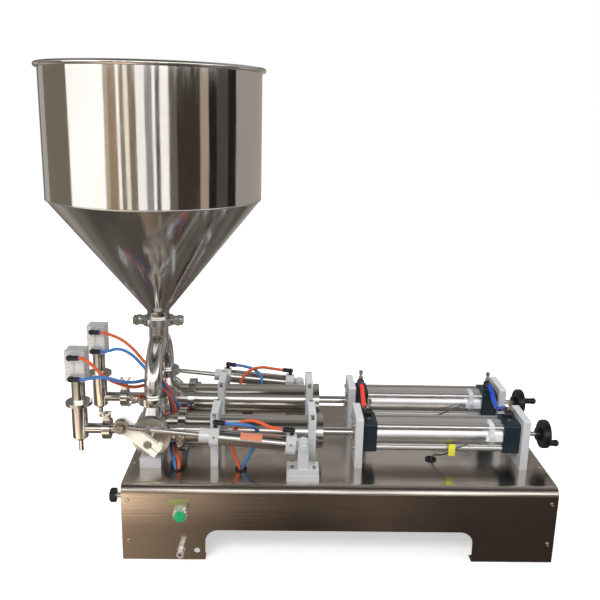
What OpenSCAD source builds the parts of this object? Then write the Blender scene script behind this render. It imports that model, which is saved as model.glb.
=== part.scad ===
// Double-head pneumatic piston filling machine with a shared hopper.
// Millimetres, +Z up. The origin is on the floor under the middle of the whole outline.
// Each module is drawn about the middle of the base, and centred() then moves it.

/* [Base] */
// Length of the base
base_l = 1000; // [980:5:1200]
// Depth of the base
base_w = 500; // [490:5:600]
// Height of the deck above the floor
base_h = 187; // [170:1:240]
// Thickness of the folded sheet
sheet_t = 3; // [2:0.5:4]
// Outer radius of the folds along the deck
bend_r = 20; // [12:1:24]
// Height of the arch between the legs
arch_h = 76; // [50:1:90]
// Width of each leg
leg_w = 190; // [170:5:260]
// Radius of the arch's upper corners
arch_r = 30; // [10:1:40]
// Width of the flange that each leg turns in at the floor
foot_flange = 20; // [10:1:30]
// Width of the end panels' flanges behind the front and back walls
panel_flange = 22; // [16:1:40]
// Gap around the end panels
panel_gap = 0.3; // [0.2:0.1:1]

/* [Layout of the heads] */
// Distance between the two filling heads
head_pitch = 204; // [190:1:220]
// Height of the filling axes above the deck
axis_rise = 72; // [68:1:90]
// Left face of the cylinder plates, from the middle of the base
cyl_x = 37; // [20:1:50]
// Free rod between barrel and cylinder plate
rod_gap = 76; // [60:1:90]
// Stroke of the pistons
stroke = 250; // [200:5:260]

/* [Air cylinders] */
// Bore of the air cylinders
cyl_bore = 63; // [56:0.5:64]
// Side of the square end caps
cap_side = 75; // [74:1:84]
// Corner radius of the end caps
cap_corner = 7; // [3:1:12]
// Length of the cap on the rod's side
front_cap_l = 35; // [28:1:45]
// Length of the cap on the handwheel's side
rear_cap_l = 40; // [30:1:50]
// Outer radius of the tube's round middle
tube_r = 35.5; // [35:0.5:37]
// Radius of the tube's four corner ribs
rib_r = 8.5; // [7:0.5:9]
// Thickness of the air piston
air_piston_l = 30; // [20:1:40]
// Free length left at each end of the stroke
cushion = 12.5; // [8:0.5:20]
// Diameter of the piston rod
rod_d = 20; // [16:1:22]
// Diameter of the nose that centres the cap in its plate
nose_d = 40; // [34:1:44]
// Thickness of the cylinder plates
plate_t = 18; // [12:1:24]
// Width of the cylinder plates
plate_w = 105; // [100:1:120]
// Height of the cylinder plates
plate_h = 126; // [118:1:136]
// Radius of the plates' upper corners
plate_corner = 4; // [1:1:10]

/* [Product barrels] */
// Outer diameter of the product barrels
barrel_d = 76; // [72:1:80]
// Wall of the product barrels
barrel_wall = 3; // [2:0.5:4]
// Thickness of the product piston
product_piston_l = 25; // [18:1:34]
// Barrel length left over at the valve end
barrel_lead = 35; // [20:1:40]
// Length of the screwed gland at the rod end
gland_l = 14; // [10:1:18]
// Diameter of the gland
gland_d = 84; // [82:1:90]
// Length of the gland's spigot inside the barrel
spigot_l = 10; // [6:1:14]
// Thickness of the barrel supports
saddle_t = 18; // [12:1:22]
// Width of the barrel supports
saddle_w = 104; // [98:1:110]
// Height of a support's cap above the filling axis
saddle_cap_h = 60; // [54:1:70]
// Split between a support and its cap
saddle_split = 1; // [0.5:0.25:3]
// Distance from the valve flange to the left supports
saddle_first = 69; // [40:1:90]
// Distance from the gland to the right supports
saddle_last = 4; // [2:1:20]

/* [Valves] */
// Distance from the valve's axis to its barrel flange
valve_reach = 70; // [66:1:90]
// Distance from the valve's axis to its nozzle flange
outlet_reach = 111; // [90:1:130]
// Distance from the valve's axis up to its inlet flange
inlet_reach = 76; // [72:1:90]
// Diameter of the valve body
valve_d = 90; // [84:1:94]
// Half length of the valve body
valve_half = 34; // [32:1:38]
// Diameter of the valve cover
cover_d = 93; // [91:1:98]
// Thickness of the valve cover
cover_t = 12; // [8:1:16]
// Diameter of the turning plug
plug_d = 60; // [56:1:64]
// Diameter of the passages in the plug
passage_d = 32; // [26:1:34]
// Diameter of the plug's stem
stem_d = 20; // [16:1:22]
// Width of the block under each valve
foot_w = 50; // [40:1:60]
// Depth of the block under each valve
foot_depth = 60; // [40:1:64]
// Reach of its outer step from the filling axis
foot_out = 62; // [50:1:70]

/* [Levers and valve actuators] */
// Distance from the filling axis to the lever's front face
lever_out = 90; // [88:1:106]
// Thickness of the lever
lever_t = 12; // [8:1:14]
// Width of the lever
lever_w = 32; // [28:1:36]
// Radius from the stem to the rod end's pin
lever_r = 75; // [66:1:78]
// Length of the lever past the stem
lever_tail = 31; // [26:1:36]
// Rest angle of the lever above the horizontal, measured from +X
lever_angle = 140; // [132:1:144]
// Diameter of the pin in the rod end
pin_d = 10; // [8:1:12]
// Diameter of the rod end's eye
eye_d = 34; // [28:1:36]
// Thickness of the rod end's eye
eye_t = 14; // [10:1:16]
// Pivot of the actuator, from the middle of the base
pivot_x = -88; // [-92:1:-84]
// Height of the actuator's pivot above the filling axis
pivot_rise = 9; // [4:1:14]
// Outer diameter of the actuator's tube
act_tube_d = 36; // [34:1:38]
// Wall of the actuator's tube
act_wall = 2; // [1.5:0.5:2.5]
// Width across the flats of the actuator's caps
act_cap_w = 44; // [42:1:48]
// Distance from the pivot to the actuator's rear cap
act_lug = 18; // [16:1:22]
// Length of the actuator's rear cap
act_rear_l = 23; // [18:1:26]
// Length of the actuator's tube
act_tube_l = 154; // [146:1:156]
// Length of the actuator's front cap
act_front_l = 21; // [18:1:24]
// Length of the nose on the front cap
act_nose_l = 24; // [16:1:26]
// Diameter of the nose on the front cap
act_nose_d = 32; // [26:1:34]
// Diameter of the actuator's rod
act_rod_d = 12; // [10:1:14]
// Thickness of the lug on the rear cap
lug_t = 16; // [12:1:20]
// Thickness of the bracket's ears
ear_t = 10; // [8:1:12]
// Width of the bracket's ears
ear_w = 24; // [20:1:28]
// Length of the bracket's base
bracket_l = 73; // [70:1:80]
// Depth of the bracket's base
bracket_w = 46; // [44:1:52]
// Thickness of each of the two base plates
bracket_t = 14; // [10:1:16]

/* [Nozzles] */
// Distance from the nozzle flange to the nozzle's axis
nozzle_reach = 64; // [56:1:80]
// Diameter of the nozzle body
nozzle_d = 37; // [34:1:40]
// Depth of the nozzle body below the filling axis
nozzle_drop = 22; // [20:1:26]
// Height of the nozzle's flange above the filling axis
flange_rise = 66; // [60:1:76]
// Diameter of the nozzle's flange
flange_d = 63; // [54:1:70]
// Thickness of each half of the nozzle's flange
flange_t = 4; // [3:0.5:6]
// Diameter of the spout
spout_d = 11; // [10.5:0.5:14]
// Length of the spout
spout_l = 36; // [24:1:44]
// Diameter of the tube above the flange
post_d = 32; // [26:1:36]
// Length of the tube above the flange
post_l = 57; // [46:1:70]
// Side of the square shut-off cylinder
block_w = 47; // [42:1:50]
// Height of the shut-off cylinder
block_h = 74; // [70:1:86]
// Diameter of the shut-off needle
needle_d = 8; // [6:0.5:8]
// Diameter of the needle's piston
needle_piston_d = 32; // [28:1:34]
// Outer diameter of the side tube
side_tube_d = 25; // [22:1:27]

/* [Pipework] */
// Wall of the pipes
pipe_wall = 2; // [1.5:0.5:3]
// Thickness of the clamp gaskets
gasket_t = 2; // [1:0.5:3]
// Thickness of a ferrule's rim
rim_t = 2.8; // [2:0.2:3.4]
// Diameter of the manifold's branches
branch_d = 42; // [38:1:44]
// Straight length under each branch
branch_drop = 14; // [12:1:24]
// Diameter of the neck under the hopper
neck_d = 48; // [44:1:50]
// Length of the neck above the arch's centre line
neck_l = 50; // [44:1:70]
// Ferrule diameter at the barrels
barrel_ferrule_d = 91; // [90:1:93]
// Ferrule diameter at the valve inlets
inlet_ferrule_d = 54; // [52:1:56]
// Ferrule diameter at the nozzles
outlet_ferrule_d = 37; // [36:1:40]
// Ferrule diameter at the hopper
hopper_ferrule_d = 64; // [62:1:68]
// Thickness of a clamp's band over its ferrules
band_t = 7; // [5:1:8]
// Depth to which a clamp grips its ferrules
bite = 4; // [3:0.5:4.5]

/* [Hopper] */
// Outer diameter of the hopper
hopper_d = 500; // [440:5:520]
// Height of the hopper's straight wall
shell_h = 297; // [240:1:340]
// Height of the hopper's cone
cone_h = 278; // [240:1:320]
// Straight outlet under the cone
outlet_l = 24; // [18:1:36]
// Wall of the hopper
hopper_wall = 2; // [1.5:0.5:3]
// Radius of the rolled rim
bead_r = 5.5; // [4:0.5:7]

/* [Handwheels] */
// Diameter of the stroke spindles
spindle_d = 11; // [9:1:13]
// Free spindle between plate and hub
spindle_gap = 33; // [24:1:44]
// Diameter of the handwheels
wheel_d = 70; // [64:1:78]
// Thickness of the handwheels
wheel_t = 20; // [16:1:24]
// Length of the hub in front of the wheel
hub_l = 9; // [6:1:14]
// Diameter of the hub
hub_d = 30; // [24:1:36]
// Radius from the spindle to the grip
grip_radius = 24; // [20:1:25]
// Diameter of the grip
grip_d = 17; // [14:1:18]
// Length of the grip
grip_l = 30; // [24:1:40]

/* [Controls] */
// Start button, from the middle of the base
button_in = 136; // [110:1:160]
// Height of the start button above the floor
button_z = 125; // [115:1:130]
// Diameter of the button's bezel
bezel_d = 33; // [31:1:36]
// Length of the bezel in front of the panel
bezel_l = 24; // [20:1:30]
// Diameter of the button's cap
button_d = 25; // [22:1:26]
// Length of the cap in front of the bezel
button_out = 6; // [5:0.5:8]
// Height of the air inlet above the floor
inlet_z = 31; // [28:1:36]
// Length of the air inlet in front of the panel
inlet_l = 32; // [28:1:40]
// Air knob, from the middle of the base to the front
knob_y = 208; // [190:1:212]
// Height of the air knob above the floor
knob_z = 140; // [125:1:142]
// Diameter of the air knob
knob_d = 33; // [28:1:36]
// Length of the air knob
knob_l = 14; // [12:1:18]
// Diameter of the spare hole beside the air inlet
spare_hole_d = 14; // [8:1:16]

/* [Hoses] */
// Outer diameter of the valve and nozzle hoses
hose_d = 8; // [5:0.5:8]
// Outer diameter of the cylinder hoses
main_hose_d = 12; // [8:1:12]
// Diameter of the sensor cables
cable_d = 4; // [3:0.5:4]

/* [Hidden] */
$fn = 72;

// Clearances: running fits, fixed fits, and the room between pieces that pass each other
run_fit = 0.05;
seat_fit = 0.1;
pass_gap = 0.3;

// The heads lie at -Y in front and at +Y behind
front = -1;
rear = 1;
SIDES = [front, rear];
head_y = head_pitch / 2;
button_x = button_in - base_l / 2;
axis_z = base_h + axis_rise;

// Stations along X, from the air cylinders to the nozzles
tube_l = stroke + air_piston_l + 2 * cushion;
front_cap_x = cyl_x + plate_t;
tube_x = front_cap_x + front_cap_l;
rear_cap_x = tube_x + tube_l;
right_plate_x = rear_cap_x + rear_cap_l;
spindle_end_x = right_plate_x + plate_t;
wheel_x = spindle_end_x + spindle_gap;
air_piston_x = tube_x + cushion;
stop_gap = 3;
spindle_tip_x = air_piston_x + air_piston_l + stroke + stop_gap;
gland_x = cyl_x - rod_gap - gland_l;
barrel_slack = 2;
barrel_l = barrel_lead + product_piston_l + stroke + barrel_slack + spigot_l;
barrel_x = gland_x - barrel_l;
product_piston_x = barrel_x + barrel_lead;
valve_x = barrel_x - gasket_t - valve_reach;
nozzle_flange_x = valve_x - outlet_reach - gasket_t;
nozzle_x = nozzle_flange_x - nozzle_reach;
saddle_left_x = barrel_x + saddle_first;
saddle_right_x = gland_x - saddle_last - saddle_t;

// Heights from the valves to the hopper's rim, above the floor
branch_z = axis_z + inlet_reach + gasket_t;
arch_z = branch_z + branch_drop;
neck_z = arch_z + head_y + neck_l;
outlet_z = neck_z + gasket_t;
cone_z = outlet_z + outlet_l;
shell_z = cone_z + cone_h;
rim_z = shell_z + shell_h;
rim_r = hopper_d / 2 + bead_r * 2 - hopper_wall;

// Nozzle heights above the filling axis
post_z = flange_rise;
block_z = flange_rise + flange_t + post_l;

// Valve actuator: the rod end sits in front of the lever's pin
act_y = lever_out + pass_gap + eye_t / 2;
pin_x = valve_x + lever_r * cos(lever_angle);
pin_z = lever_r * sin(lever_angle);
act_reach = norm([pin_x - pivot_x, pin_z - pivot_rise]);
act_tilt = atan2(pin_z - pivot_rise, pivot_x - pin_x);
act_tube_s = act_lug + act_rear_l;
act_front_s = act_tube_s + act_tube_l;
act_nose_s = act_front_s + act_front_l;
act_piston_l = 16;
act_port_gap = 4;
rod_end_l = 66;
nut_l = 9;

// Push-in elbow
elbow_r = 7;
elbow_stem_l = 8;
elbow_arm_l = 20;

// Deck holes for hose pairs and sensor cables: [x, y]
grommet_r = 11;
grommet_bore_r = 9;
lip_r = 14;
lip_t = 3;
actuator_drop = [-233, 64];
nozzle_drop_front = [-384, -66.5];
nozzle_drop_rear = [-385, -head_y];
cable_drop = [231, 0];
GROMMETS = concat(
    [for (s = SIDES) [actuator_drop.x, s * (head_y + actuator_drop.y)]],
    [for (s = SIDES) [cable_drop.x, s * head_y + cable_drop.y]],
    [[nozzle_drop_front.x, -head_y + nozzle_drop_front.y],
     [nozzle_drop_rear.x, head_y + nozzle_drop_rear.y]]
);

// Nozzle elbows: heights above the block's foot and place beside the nozzle
elbow_ports = [10, 62];
elbow_x = -8;
elbow_y = -block_w / 2 - elbow_stem_l - elbow_r / 2;

// Hose routes about the filling axis: X from the middle of the base, Z from the axis
pair = 4.4;
hose_lead = 8;
function elbow_exit(i, along) =
    [nozzle_x + elbow_x + elbow_arm_l + along, elbow_y, block_z + elbow_ports[i]];
nozzle_route_front_top = [
    elbow_exit(1, 0), elbow_exit(1, hose_lead), [-590, -35, 182], [-572, -34, 164],
    [-548, -27, 138], [-520, -10, 117], [-495, 10, 103], [-468, 36, 98], [-438, 47, 88],
    [-416, 51, 64], [-407, 55, 32], [-405, 57, 0], [-403.5, 53, -27], [-401, 34, -43],
    [-397.5, 8, -47], [-394, -18, -47.5], [-388, -40, -48.5],
    [nozzle_drop_front.x + pair - 2, -54, -55], [nozzle_drop_front.x + pair, -63, -66],
    [nozzle_drop_front.x + pair, nozzle_drop_front.y, -78],
    [nozzle_drop_front.x + pair, nozzle_drop_front.y, -92]
];
nozzle_route_front_low = [
    elbow_exit(0, 0), elbow_exit(0, hose_lead), [-590, -37, 140], [-564, -40, 145],
    [-540, -39, 142], [-515, -26, 130], [-490, 4, 118], [-466, 34, 113], [-440, 56, 104],
    [-426, 66, 78], [-417, 69, 46], [-415, 67, 10], [-413.5, 58, -22], [-411, 36, -42.5],
    [-407.5, 8, -47], [-404, -18, -47.5], [-398, -40, -48.5],
    [nozzle_drop_front.x - pair - 3, -54, -55], [nozzle_drop_front.x - pair, -63, -66],
    [nozzle_drop_front.x - pair, nozzle_drop_front.y, -78],
    [nozzle_drop_front.x - pair, nozzle_drop_front.y, -92]
];
nozzle_route_rear_top = [
    elbow_exit(1, 0), elbow_exit(1, hose_lead), [-588, -35, 185], [-552, -40, 171],
    [-521, -52, 150], [-490, -70, 122], [-456, -86, 94], [-426, -97, 64], [-408, -99, 24],
    [nozzle_drop_rear.x - pair, nozzle_drop_rear.y, -40],
    [nozzle_drop_rear.x - pair, nozzle_drop_rear.y, -92]
];
nozzle_route_rear_low = [
    elbow_exit(0, 0), elbow_exit(0, hose_lead), [-592, -35, 139], [-563, -41, 147],
    [-529, -55, 139], [-496, -74, 116], [-462, -93, 86], [-424, -108, 54], [-394, -112, 12],
    [nozzle_drop_rear.x + pair, nozzle_drop_rear.y, -40],
    [nozzle_drop_rear.x + pair, nozzle_drop_rear.y, -92]
];
actuator_route_front = [
    [-238, 94, 56], [-212, 86, 49], [-196, 72, 33], [-197, 64, 4], [-212, 62, -34],
    [actuator_drop.x + pair, actuator_drop.y, -66],
    [actuator_drop.x + pair, actuator_drop.y, -92]
];
actuator_route_rear = [
    [-164, 96, 51], [-198, 82, 59], [-228, 72, 53], [-248, 64, 32], [-255, 61, 0],
    [-248, 62, -38], [actuator_drop.x - pair, actuator_drop.y, -66],
    [actuator_drop.x - pair, actuator_drop.y, -92]
];
cable_route = [
    [332, -43, 3], [306, -46, -8], [285, -45, -19], [268, -41, -31], [250, -26, -47],
    [cable_drop.x + 6, cable_drop.y - 6, -58], [cable_drop.x, cable_drop.y, -72],
    [cable_drop.x, cable_drop.y, -92]
];

// Outline of the whole machine, for its origin
x_low = valve_x - rim_r;
x_high = wheel_x + hub_l + wheel_t + grip_l + pass_gap;
y_low = -base_w / 2 - inlet_l;
y_high = rim_r;

module centred() {
    translate([-(x_low + x_high) / 2, -(y_low + y_high) / 2, 0]) children();
}

// Placing helpers
module along_x(x, l, r) {
    translate([x, 0, 0]) rotate([0, 90, 0]) cylinder(h = l, r = r);
}

module along_y(y, l, r) {
    translate([0, y, 0]) rotate([-90, 0, 0]) cylinder(h = l, r = r);
}

module extrude_x(x, l) {
    translate([x, 0, 0]) rotate([90, 0, 90]) linear_extrude(l) children();
}

module extrude_y(y, l) {
    translate([0, y + l, 0]) rotate([90, 0, 0]) linear_extrude(l) children();
}

module spin_x(x) {
    translate([x, 0, 0]) rotate([0, 90, 0]) rotate_extrude() children();
}

// A head's own frame, the same way round on both heads
module at_head(side) {
    translate([0, side * head_y, axis_z]) children();
}

// A head's frame with +Y pointing away from the middle of the machine
module at_outer(side) {
    at_head(side) mirror([0, side < 0 ? 1 : 0, 0]) children();
}

// The actuator's frame: origin on its pivot, +X along its rod
module at_actuator(side) {
    at_outer(side) translate([pivot_x, act_y, pivot_rise]) rotate([0, act_tilt, 0])
        mirror([1, 0, 0]) children();
}

module rounded_square(w, h, r) {
    square([w - 2 * r, h], center = true);
    square([w, h - 2 * r], center = true);
    for (x = [-1, 1], y = [-1, 1])
        translate([x * (w / 2 - r), y * (h / 2 - r)]) circle(r);
}

// Socket screw along -Z with its head's underside at the origin
module screw(r, l, head_h) {
    difference() {
        cylinder(h = head_h, r = 1.7 * r);
        translate([0, 0, head_h / 2]) cylinder(h = head_h, r = 0.9 * r, $fn = 6);
    }
    translate([0, 0, -l]) cylinder(h = l, r = r);
}

// Hoses: a tube swept along its route's own points
function unit(v) = v / norm(v);
function tangent(p, i) = unit(p[min(i + 1, len(p) - 1)] - p[max(i - 1, 0)]);
function carry(n, t) = unit(n - (n * t) * t);
function normals(p, i, n) =
    i == len(p) ? [] : let (m = carry(n, tangent(p, i))) concat([m], normals(p, i + 1, m));
function ring(c, t, n, r, sides) = let (b = cross(t, n))
    [for (k = [0:sides - 1]) let (a = 360 * k / sides) c + r * (cos(a) * n + sin(a) * b)];

module hose(p, d, sides = 8) {
    start = abs(tangent(p, 0).z) < 0.8 ? [0, 0, 1] : [1, 0, 0];
    ns = normals(p, 0, start);
    last = (len(p) - 1) * sides;
    points = [for (i = [0:len(p) - 1]) each ring(p[i], tangent(p, i), ns[i], d / 2, sides)];
    skin = [for (i = [0:len(p) - 2], k = [0:sides - 1])
        let (a = i * sides + k, b = i * sides + (k + 1) % sides)
        each [[a, b + sides, b], [a, a + sides, b + sides]]];
    ends = [[for (k = [0:sides - 1]) k], [for (k = [sides - 1:-1:0]) last + k]];
    polyhedron(points, concat(skin, ends), convexity = 8);
}

// Push-in elbow with its stem along -Z from the origin and its arm along +X
module elbow() {
    translate([0, 0, -elbow_stem_l - elbow_r / 2]) cylinder(h = elbow_stem_l + elbow_r / 2, r = 5);
    sphere(elbow_r);
    along_x(0, elbow_arm_l, elbow_r - 1);
}

// Ferrule with its face at the origin and its tube along +Z
taper = tan(20);
module ferrule(tube_d, bore_d, rim_d, l) {
    rim = rim_d / 2;
    rotate_extrude() polygon([
        [bore_d / 2, 0], [rim, 0], [rim, rim_t],
        [tube_d / 2, rim_t + (rim - tube_d / 2) * taper], [tube_d / 2, l], [bore_d / 2, l]
    ]);
}

// Clamp band round a pair of ferrules, its axis along Z and its ears at +Y
ear_l = 15;
ear_half = 10;
slit = 3;
clamp_bolt_r = 3;
function band_half(rim_d) = gasket_t / 2 + rim_t + seat_fit + bite * taper + 3.5;
function bolt_y(rim_d) = rim_d / 2 + band_t + ear_l / 2;

module band_profile(rim_d) {
    rim = rim_d / 2;
    groove = gasket_t / 2 + rim_t + seat_fit;
    half = band_half(rim_d);
    difference() {
        translate([rim - bite, -half]) square([bite + band_t, 2 * half]);
        polygon([
            [rim - bite - 1, -groove - (bite + 1) * taper], [rim, -groove],
            [rim + seat_fit, -groove], [rim + seat_fit, groove],
            [rim, groove], [rim - bite - 1, groove + (bite + 1) * taper]
        ]);
    }
}

module clamp_ears(rim_d) {
    half = band_half(rim_d);
    translate([-ear_half, rim_d / 2 + band_t / 2, -half + 1.5])
        cube([2 * ear_half, band_t / 2 + ear_l, 2 * half - 3]);
}

module wing_bolt(rim_d) {
    wing_l = 17;
    translate([0, bolt_y(rim_d), 0]) {
        along_x(-ear_half - 5, 2 * ear_half + 14, clamp_bolt_r);
        along_x(-ear_half - 5, 5, 6);
        along_x(ear_half, 8, 6);
        for (a = [-38, 38])
            rotate([a, 0, 0]) {
                translate([ear_half + 1, 0, -2]) cube([6, wing_l, 4]);
                translate([0, wing_l, 0]) along_x(ear_half + 1, 6, 3.5);
            }
    }
}

module pipe_clamp(rim_d) {
    difference() {
        union() {
            rotate_extrude() band_profile(rim_d);
            clamp_ears(rim_d);
        }
        translate([-slit / 2, 0, -rim_d]) cube([slit, rim_d * 2, 2 * rim_d]);
        translate([0, bolt_y(rim_d), 0]) along_x(-rim_d, 2 * rim_d, clamp_bolt_r + seat_fit);
    }
    wing_bolt(rim_d);
}

// Base
module deck_profile(inset) {
    w = base_w - 2 * inset;
    h = base_h - inset;
    r = bend_r - inset;
    translate([-w / 2, 0]) square([w, h - r]);
    translate([-w / 2 + r, 0]) square([w - 2 * r, h]);
    for (s = SIDES) translate([s * (w / 2 - r), h - r]) circle(r);
}

screw_r = 2.5;
panel_screw_x = base_l / 2 - sheet_t - panel_flange / 2;
panel_screw_z = [0.25 * base_h, 0.8 * base_h];

module panel_screw_places() {
    for (x = [-1, 1], y = SIDES, z = panel_screw_z)
        translate([x * panel_screw_x, y * base_w / 2, z]) rotate([-y * 90, 0, 0]) children();
}

module chassis() {
    color("silver") difference() {
        union() {
            extrude_x(-base_l / 2, base_l) difference() {
                deck_profile(0);
                deck_profile(sheet_t);
                translate([-base_w / 2 + sheet_t, -1]) square([base_w - 2 * sheet_t, 2]);
            }
            for (x = [-1, 1], y = SIDES)
                scale([x, y, 1])
                    translate([base_l / 2 - leg_w, base_w / 2 - sheet_t - foot_flange, 0])
                        cube([leg_w - sheet_t - 1, foot_flange + sheet_t, sheet_t]);
        }
        extrude_y(-base_w, 2 * base_w) arch_outline();
        for (g = GROMMETS) translate([g.x, g.y, base_h - bend_r])
            cylinder(h = 2 * bend_r, r = grommet_r + seat_fit);
        translate([button_x, 0, button_z]) along_y(-base_w, base_w, barrel_r + seat_fit);
        translate([button_x, 0, inlet_z]) along_y(-base_w, base_w, inlet_thread_r + seat_fit);
        translate([button_x + 2.5 * spare_hole_d, 0, inlet_z - 8])
            along_y(-base_w, base_w, spare_hole_d / 2);
        panel_screw_places() translate([0, 0, -sheet_t - 1])
            cylinder(h = sheet_t + 2, r = screw_r + seat_fit);
    }
}

module arch_outline() {
    w = base_l - 2 * leg_w;
    translate([-w / 2, -1]) square([w, arch_h - arch_r + 1]);
    translate([-w / 2 + arch_r, -1]) square([w - 2 * arch_r, arch_h + 1]);
    for (s = [-1, 1]) translate([s * (w / 2 - arch_r), arch_h - arch_r]) circle(arch_r);
}

// End panel at the left, with its flanges behind the front and back walls
module end_panel() {
    inset = sheet_t + panel_gap;
    flange_z = sheet_t + 6;
    difference() {
        union() {
            extrude_x(-base_l / 2, sheet_t) deck_profile(inset);
            for (s = SIDES)
                translate([-base_l / 2, s > 0 ? base_w / 2 - inset - sheet_t : -base_w / 2 + inset,
                           flange_z])
                    cube([sheet_t + panel_flange, sheet_t, base_h - bend_r - 2 * flange_z]);
        }
        panel_screw_places() translate([0, 0, -4 * sheet_t])
            cylinder(h = 5 * sheet_t, r = screw_r + seat_fit);
    }
}

module left_end_panel() {
    color("silver") difference() {
        end_panel();
        translate([0, -knob_y, knob_z]) along_x(-base_l, base_l, knob_stub_r + seat_fit);
    }
}

module right_end_panel() {
    color("silver") mirror([1, 0, 0]) end_panel();
}

// Fasteners
cap_screw_r = 4;
cap_screw_y = (barrel_d / 2 + saddle_w / 2) / 2 + 1;
cap_sink = 9;
bracket_screw_r = 3;
cover_screw_r = 2.5;

module cap_screw_places() {
    for (s = SIDES, x = [saddle_left_x, saddle_right_x], y = [-1, 1])
        at_head(s) translate([x + saddle_t / 2, y * cap_screw_y, saddle_cap_h - cap_sink])
            children();
}

module bracket_screw_places() {
    for (s = SIDES, x = [-1, 1], y = [-1, 1])
        at_outer(s) translate([pivot_x + x * (bracket_l / 2 - 11), act_y + y * (bracket_w / 2 - 9),
                               2 * bracket_t - axis_rise]) children();
}

module cover_screw_places() {
    for (s = SIDES, a = [45:90:315])
        at_outer(s) translate([valve_x, 0, 0]) rotate([0, a, 0])
            translate([cover_d / 2 - 7, valve_half + cover_t, 0]) rotate([-90, 0, 0]) children();
}

module screws() {
    color("gray") {
        panel_screw_places() screw(screw_r, sheet_t + sheet_t + 1, 3);
        cap_screw_places() screw(cap_screw_r, saddle_cap_h - cap_sink + 12, 7);
        bracket_screw_places() screw(bracket_screw_r, bracket_t, 6);
        cover_screw_places() screw(cover_screw_r, cover_t - 2, 4);
    }
}

// Controls on the base
barrel_r = 11;
inlet_thread_r = 6;
inlet_bore_r = 4;
knob_stub_r = 6;
knob_gap = 19;

module button_bezel() {
    color("gainsboro") translate([button_x, -base_w / 2, button_z]) rotate([90, 0, 0])
        difference() {
            union() {
                cylinder(h = bezel_l - 3, d = bezel_d);
                translate([0, 0, bezel_l - 3]) cylinder(h = 3, d1 = bezel_d, d2 = bezel_d - 4);
                translate([0, 0, -30]) cylinder(h = 31, r = barrel_r);
            }
            translate([0, 0, bezel_l - 12]) cylinder(h = 20, d = button_d + 2 * run_fit);
        }
}

module button_cap() {
    color("green") translate([button_x, -base_w / 2, button_z]) rotate([90, 0, 0]) {
        translate([0, 0, bezel_l - 6]) cylinder(h = button_out + 4.5, d = button_d);
        translate([0, 0, bezel_l + button_out - 1.5]) cylinder(h = 1.5, d1 = button_d, d2 = button_d - 3);
    }
}

module air_inlet() {
    color("lightgray") translate([button_x, -base_w / 2, inlet_z]) rotate([90, 0, 0])
        difference() {
            union() {
                translate([0, 0, -20]) cylinder(h = 21, r = inlet_thread_r);
                cylinder(h = 10, r = 10, $fn = 6);
                translate([0, 0, 10]) cylinder(h = inlet_l - 16, r = 7);
                translate([0, 0, inlet_l - 6]) cylinder(h = 6, r = 8.5);
            }
            translate([0, 0, 4]) cylinder(h = inlet_l, r = inlet_bore_r);
        }
}

module knob_base() {
    color("lightgray") translate([-base_l / 2, -knob_y, knob_z]) {
        along_x(-knob_gap - knob_l + 5, knob_gap + knob_l + 8, knob_stub_r);
        along_x(-4, 4, 10);
    }
}

module air_knob() {
    color("dimgray") translate([-base_l / 2 - knob_gap - knob_l, -knob_y, knob_z]) difference() {
        union() {
            along_x(3, knob_l - 3, knob_d / 2);
            translate([0, 0, 0]) rotate([0, 90, 0]) cylinder(h = 3, r1 = knob_d / 2 - 3, r2 = knob_d / 2);
        }
        along_x(5 - pass_gap, knob_l, knob_stub_r + run_fit);
        for (a = [0:30:330]) rotate([a, 0, 0]) translate([0, 0, knob_d / 2 + 1.2])
            along_x(-1, knob_l + 2, 2);
    }
}

// Hopper
module hopper_shell() {
    color("silver") translate([valve_x, 0, shell_z]) rotate_extrude() {
        translate([hopper_d / 2 - hopper_wall, 0]) square([hopper_wall, shell_h - bead_r]);
        translate([hopper_d / 2 - hopper_wall + bead_r, shell_h - bead_r]) circle(bead_r);
    }
}

outlet_r = neck_d / 2 + 3;
module hopper_cone() {
    edge = hopper_d / 2;
    rise = outlet_l + cone_h;
    color("silver") translate([valve_x, 0, outlet_z]) {
        ferrule(2 * outlet_r, 2 * outlet_r - 2 * hopper_wall, hopper_ferrule_d, outlet_l);
        rotate_extrude() polygon([
            [outlet_r - hopper_wall, outlet_l], [outlet_r, outlet_l], [edge, rise],
            [edge - hopper_wall, rise]
        ]);
    }
}

// Two-bolt clamp under the hopper, its bolts at both sides
module hopper_clamp() {
    lug_l = 22;
    half = band_half(hopper_ferrule_d);
    reach = hopper_ferrule_d / 2 + band_t;
    color("silver") translate([valve_x, 0, neck_z + gasket_t / 2]) {
        difference() {
            union() {
                rotate_extrude() band_profile(hopper_ferrule_d);
                for (s = [-1, 1]) scale([s, 1, 1]) translate([reach - band_t / 2, -12, -half])
                    cube([lug_l + band_t / 2, 24, 2 * half]);
            }
            translate([-2 * reach, -slit / 2, -reach]) cube([4 * reach, slit, 2 * reach]);
            for (s = [-1, 1]) translate([s * (reach + lug_l / 2), 0, 0])
                along_y(-reach, 2 * reach, 5 + seat_fit);
        }
        for (s = [-1, 1]) translate([s * (reach + lug_l / 2), 0, 0]) {
            along_y(-19, 40, 5);
            along_y(-19, 7, 9);
            translate([0, 12, 0]) rotate([-90, 0, 0]) cylinder(h = 8, r = 9.5, $fn = 6);
        }
    }
}

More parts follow.
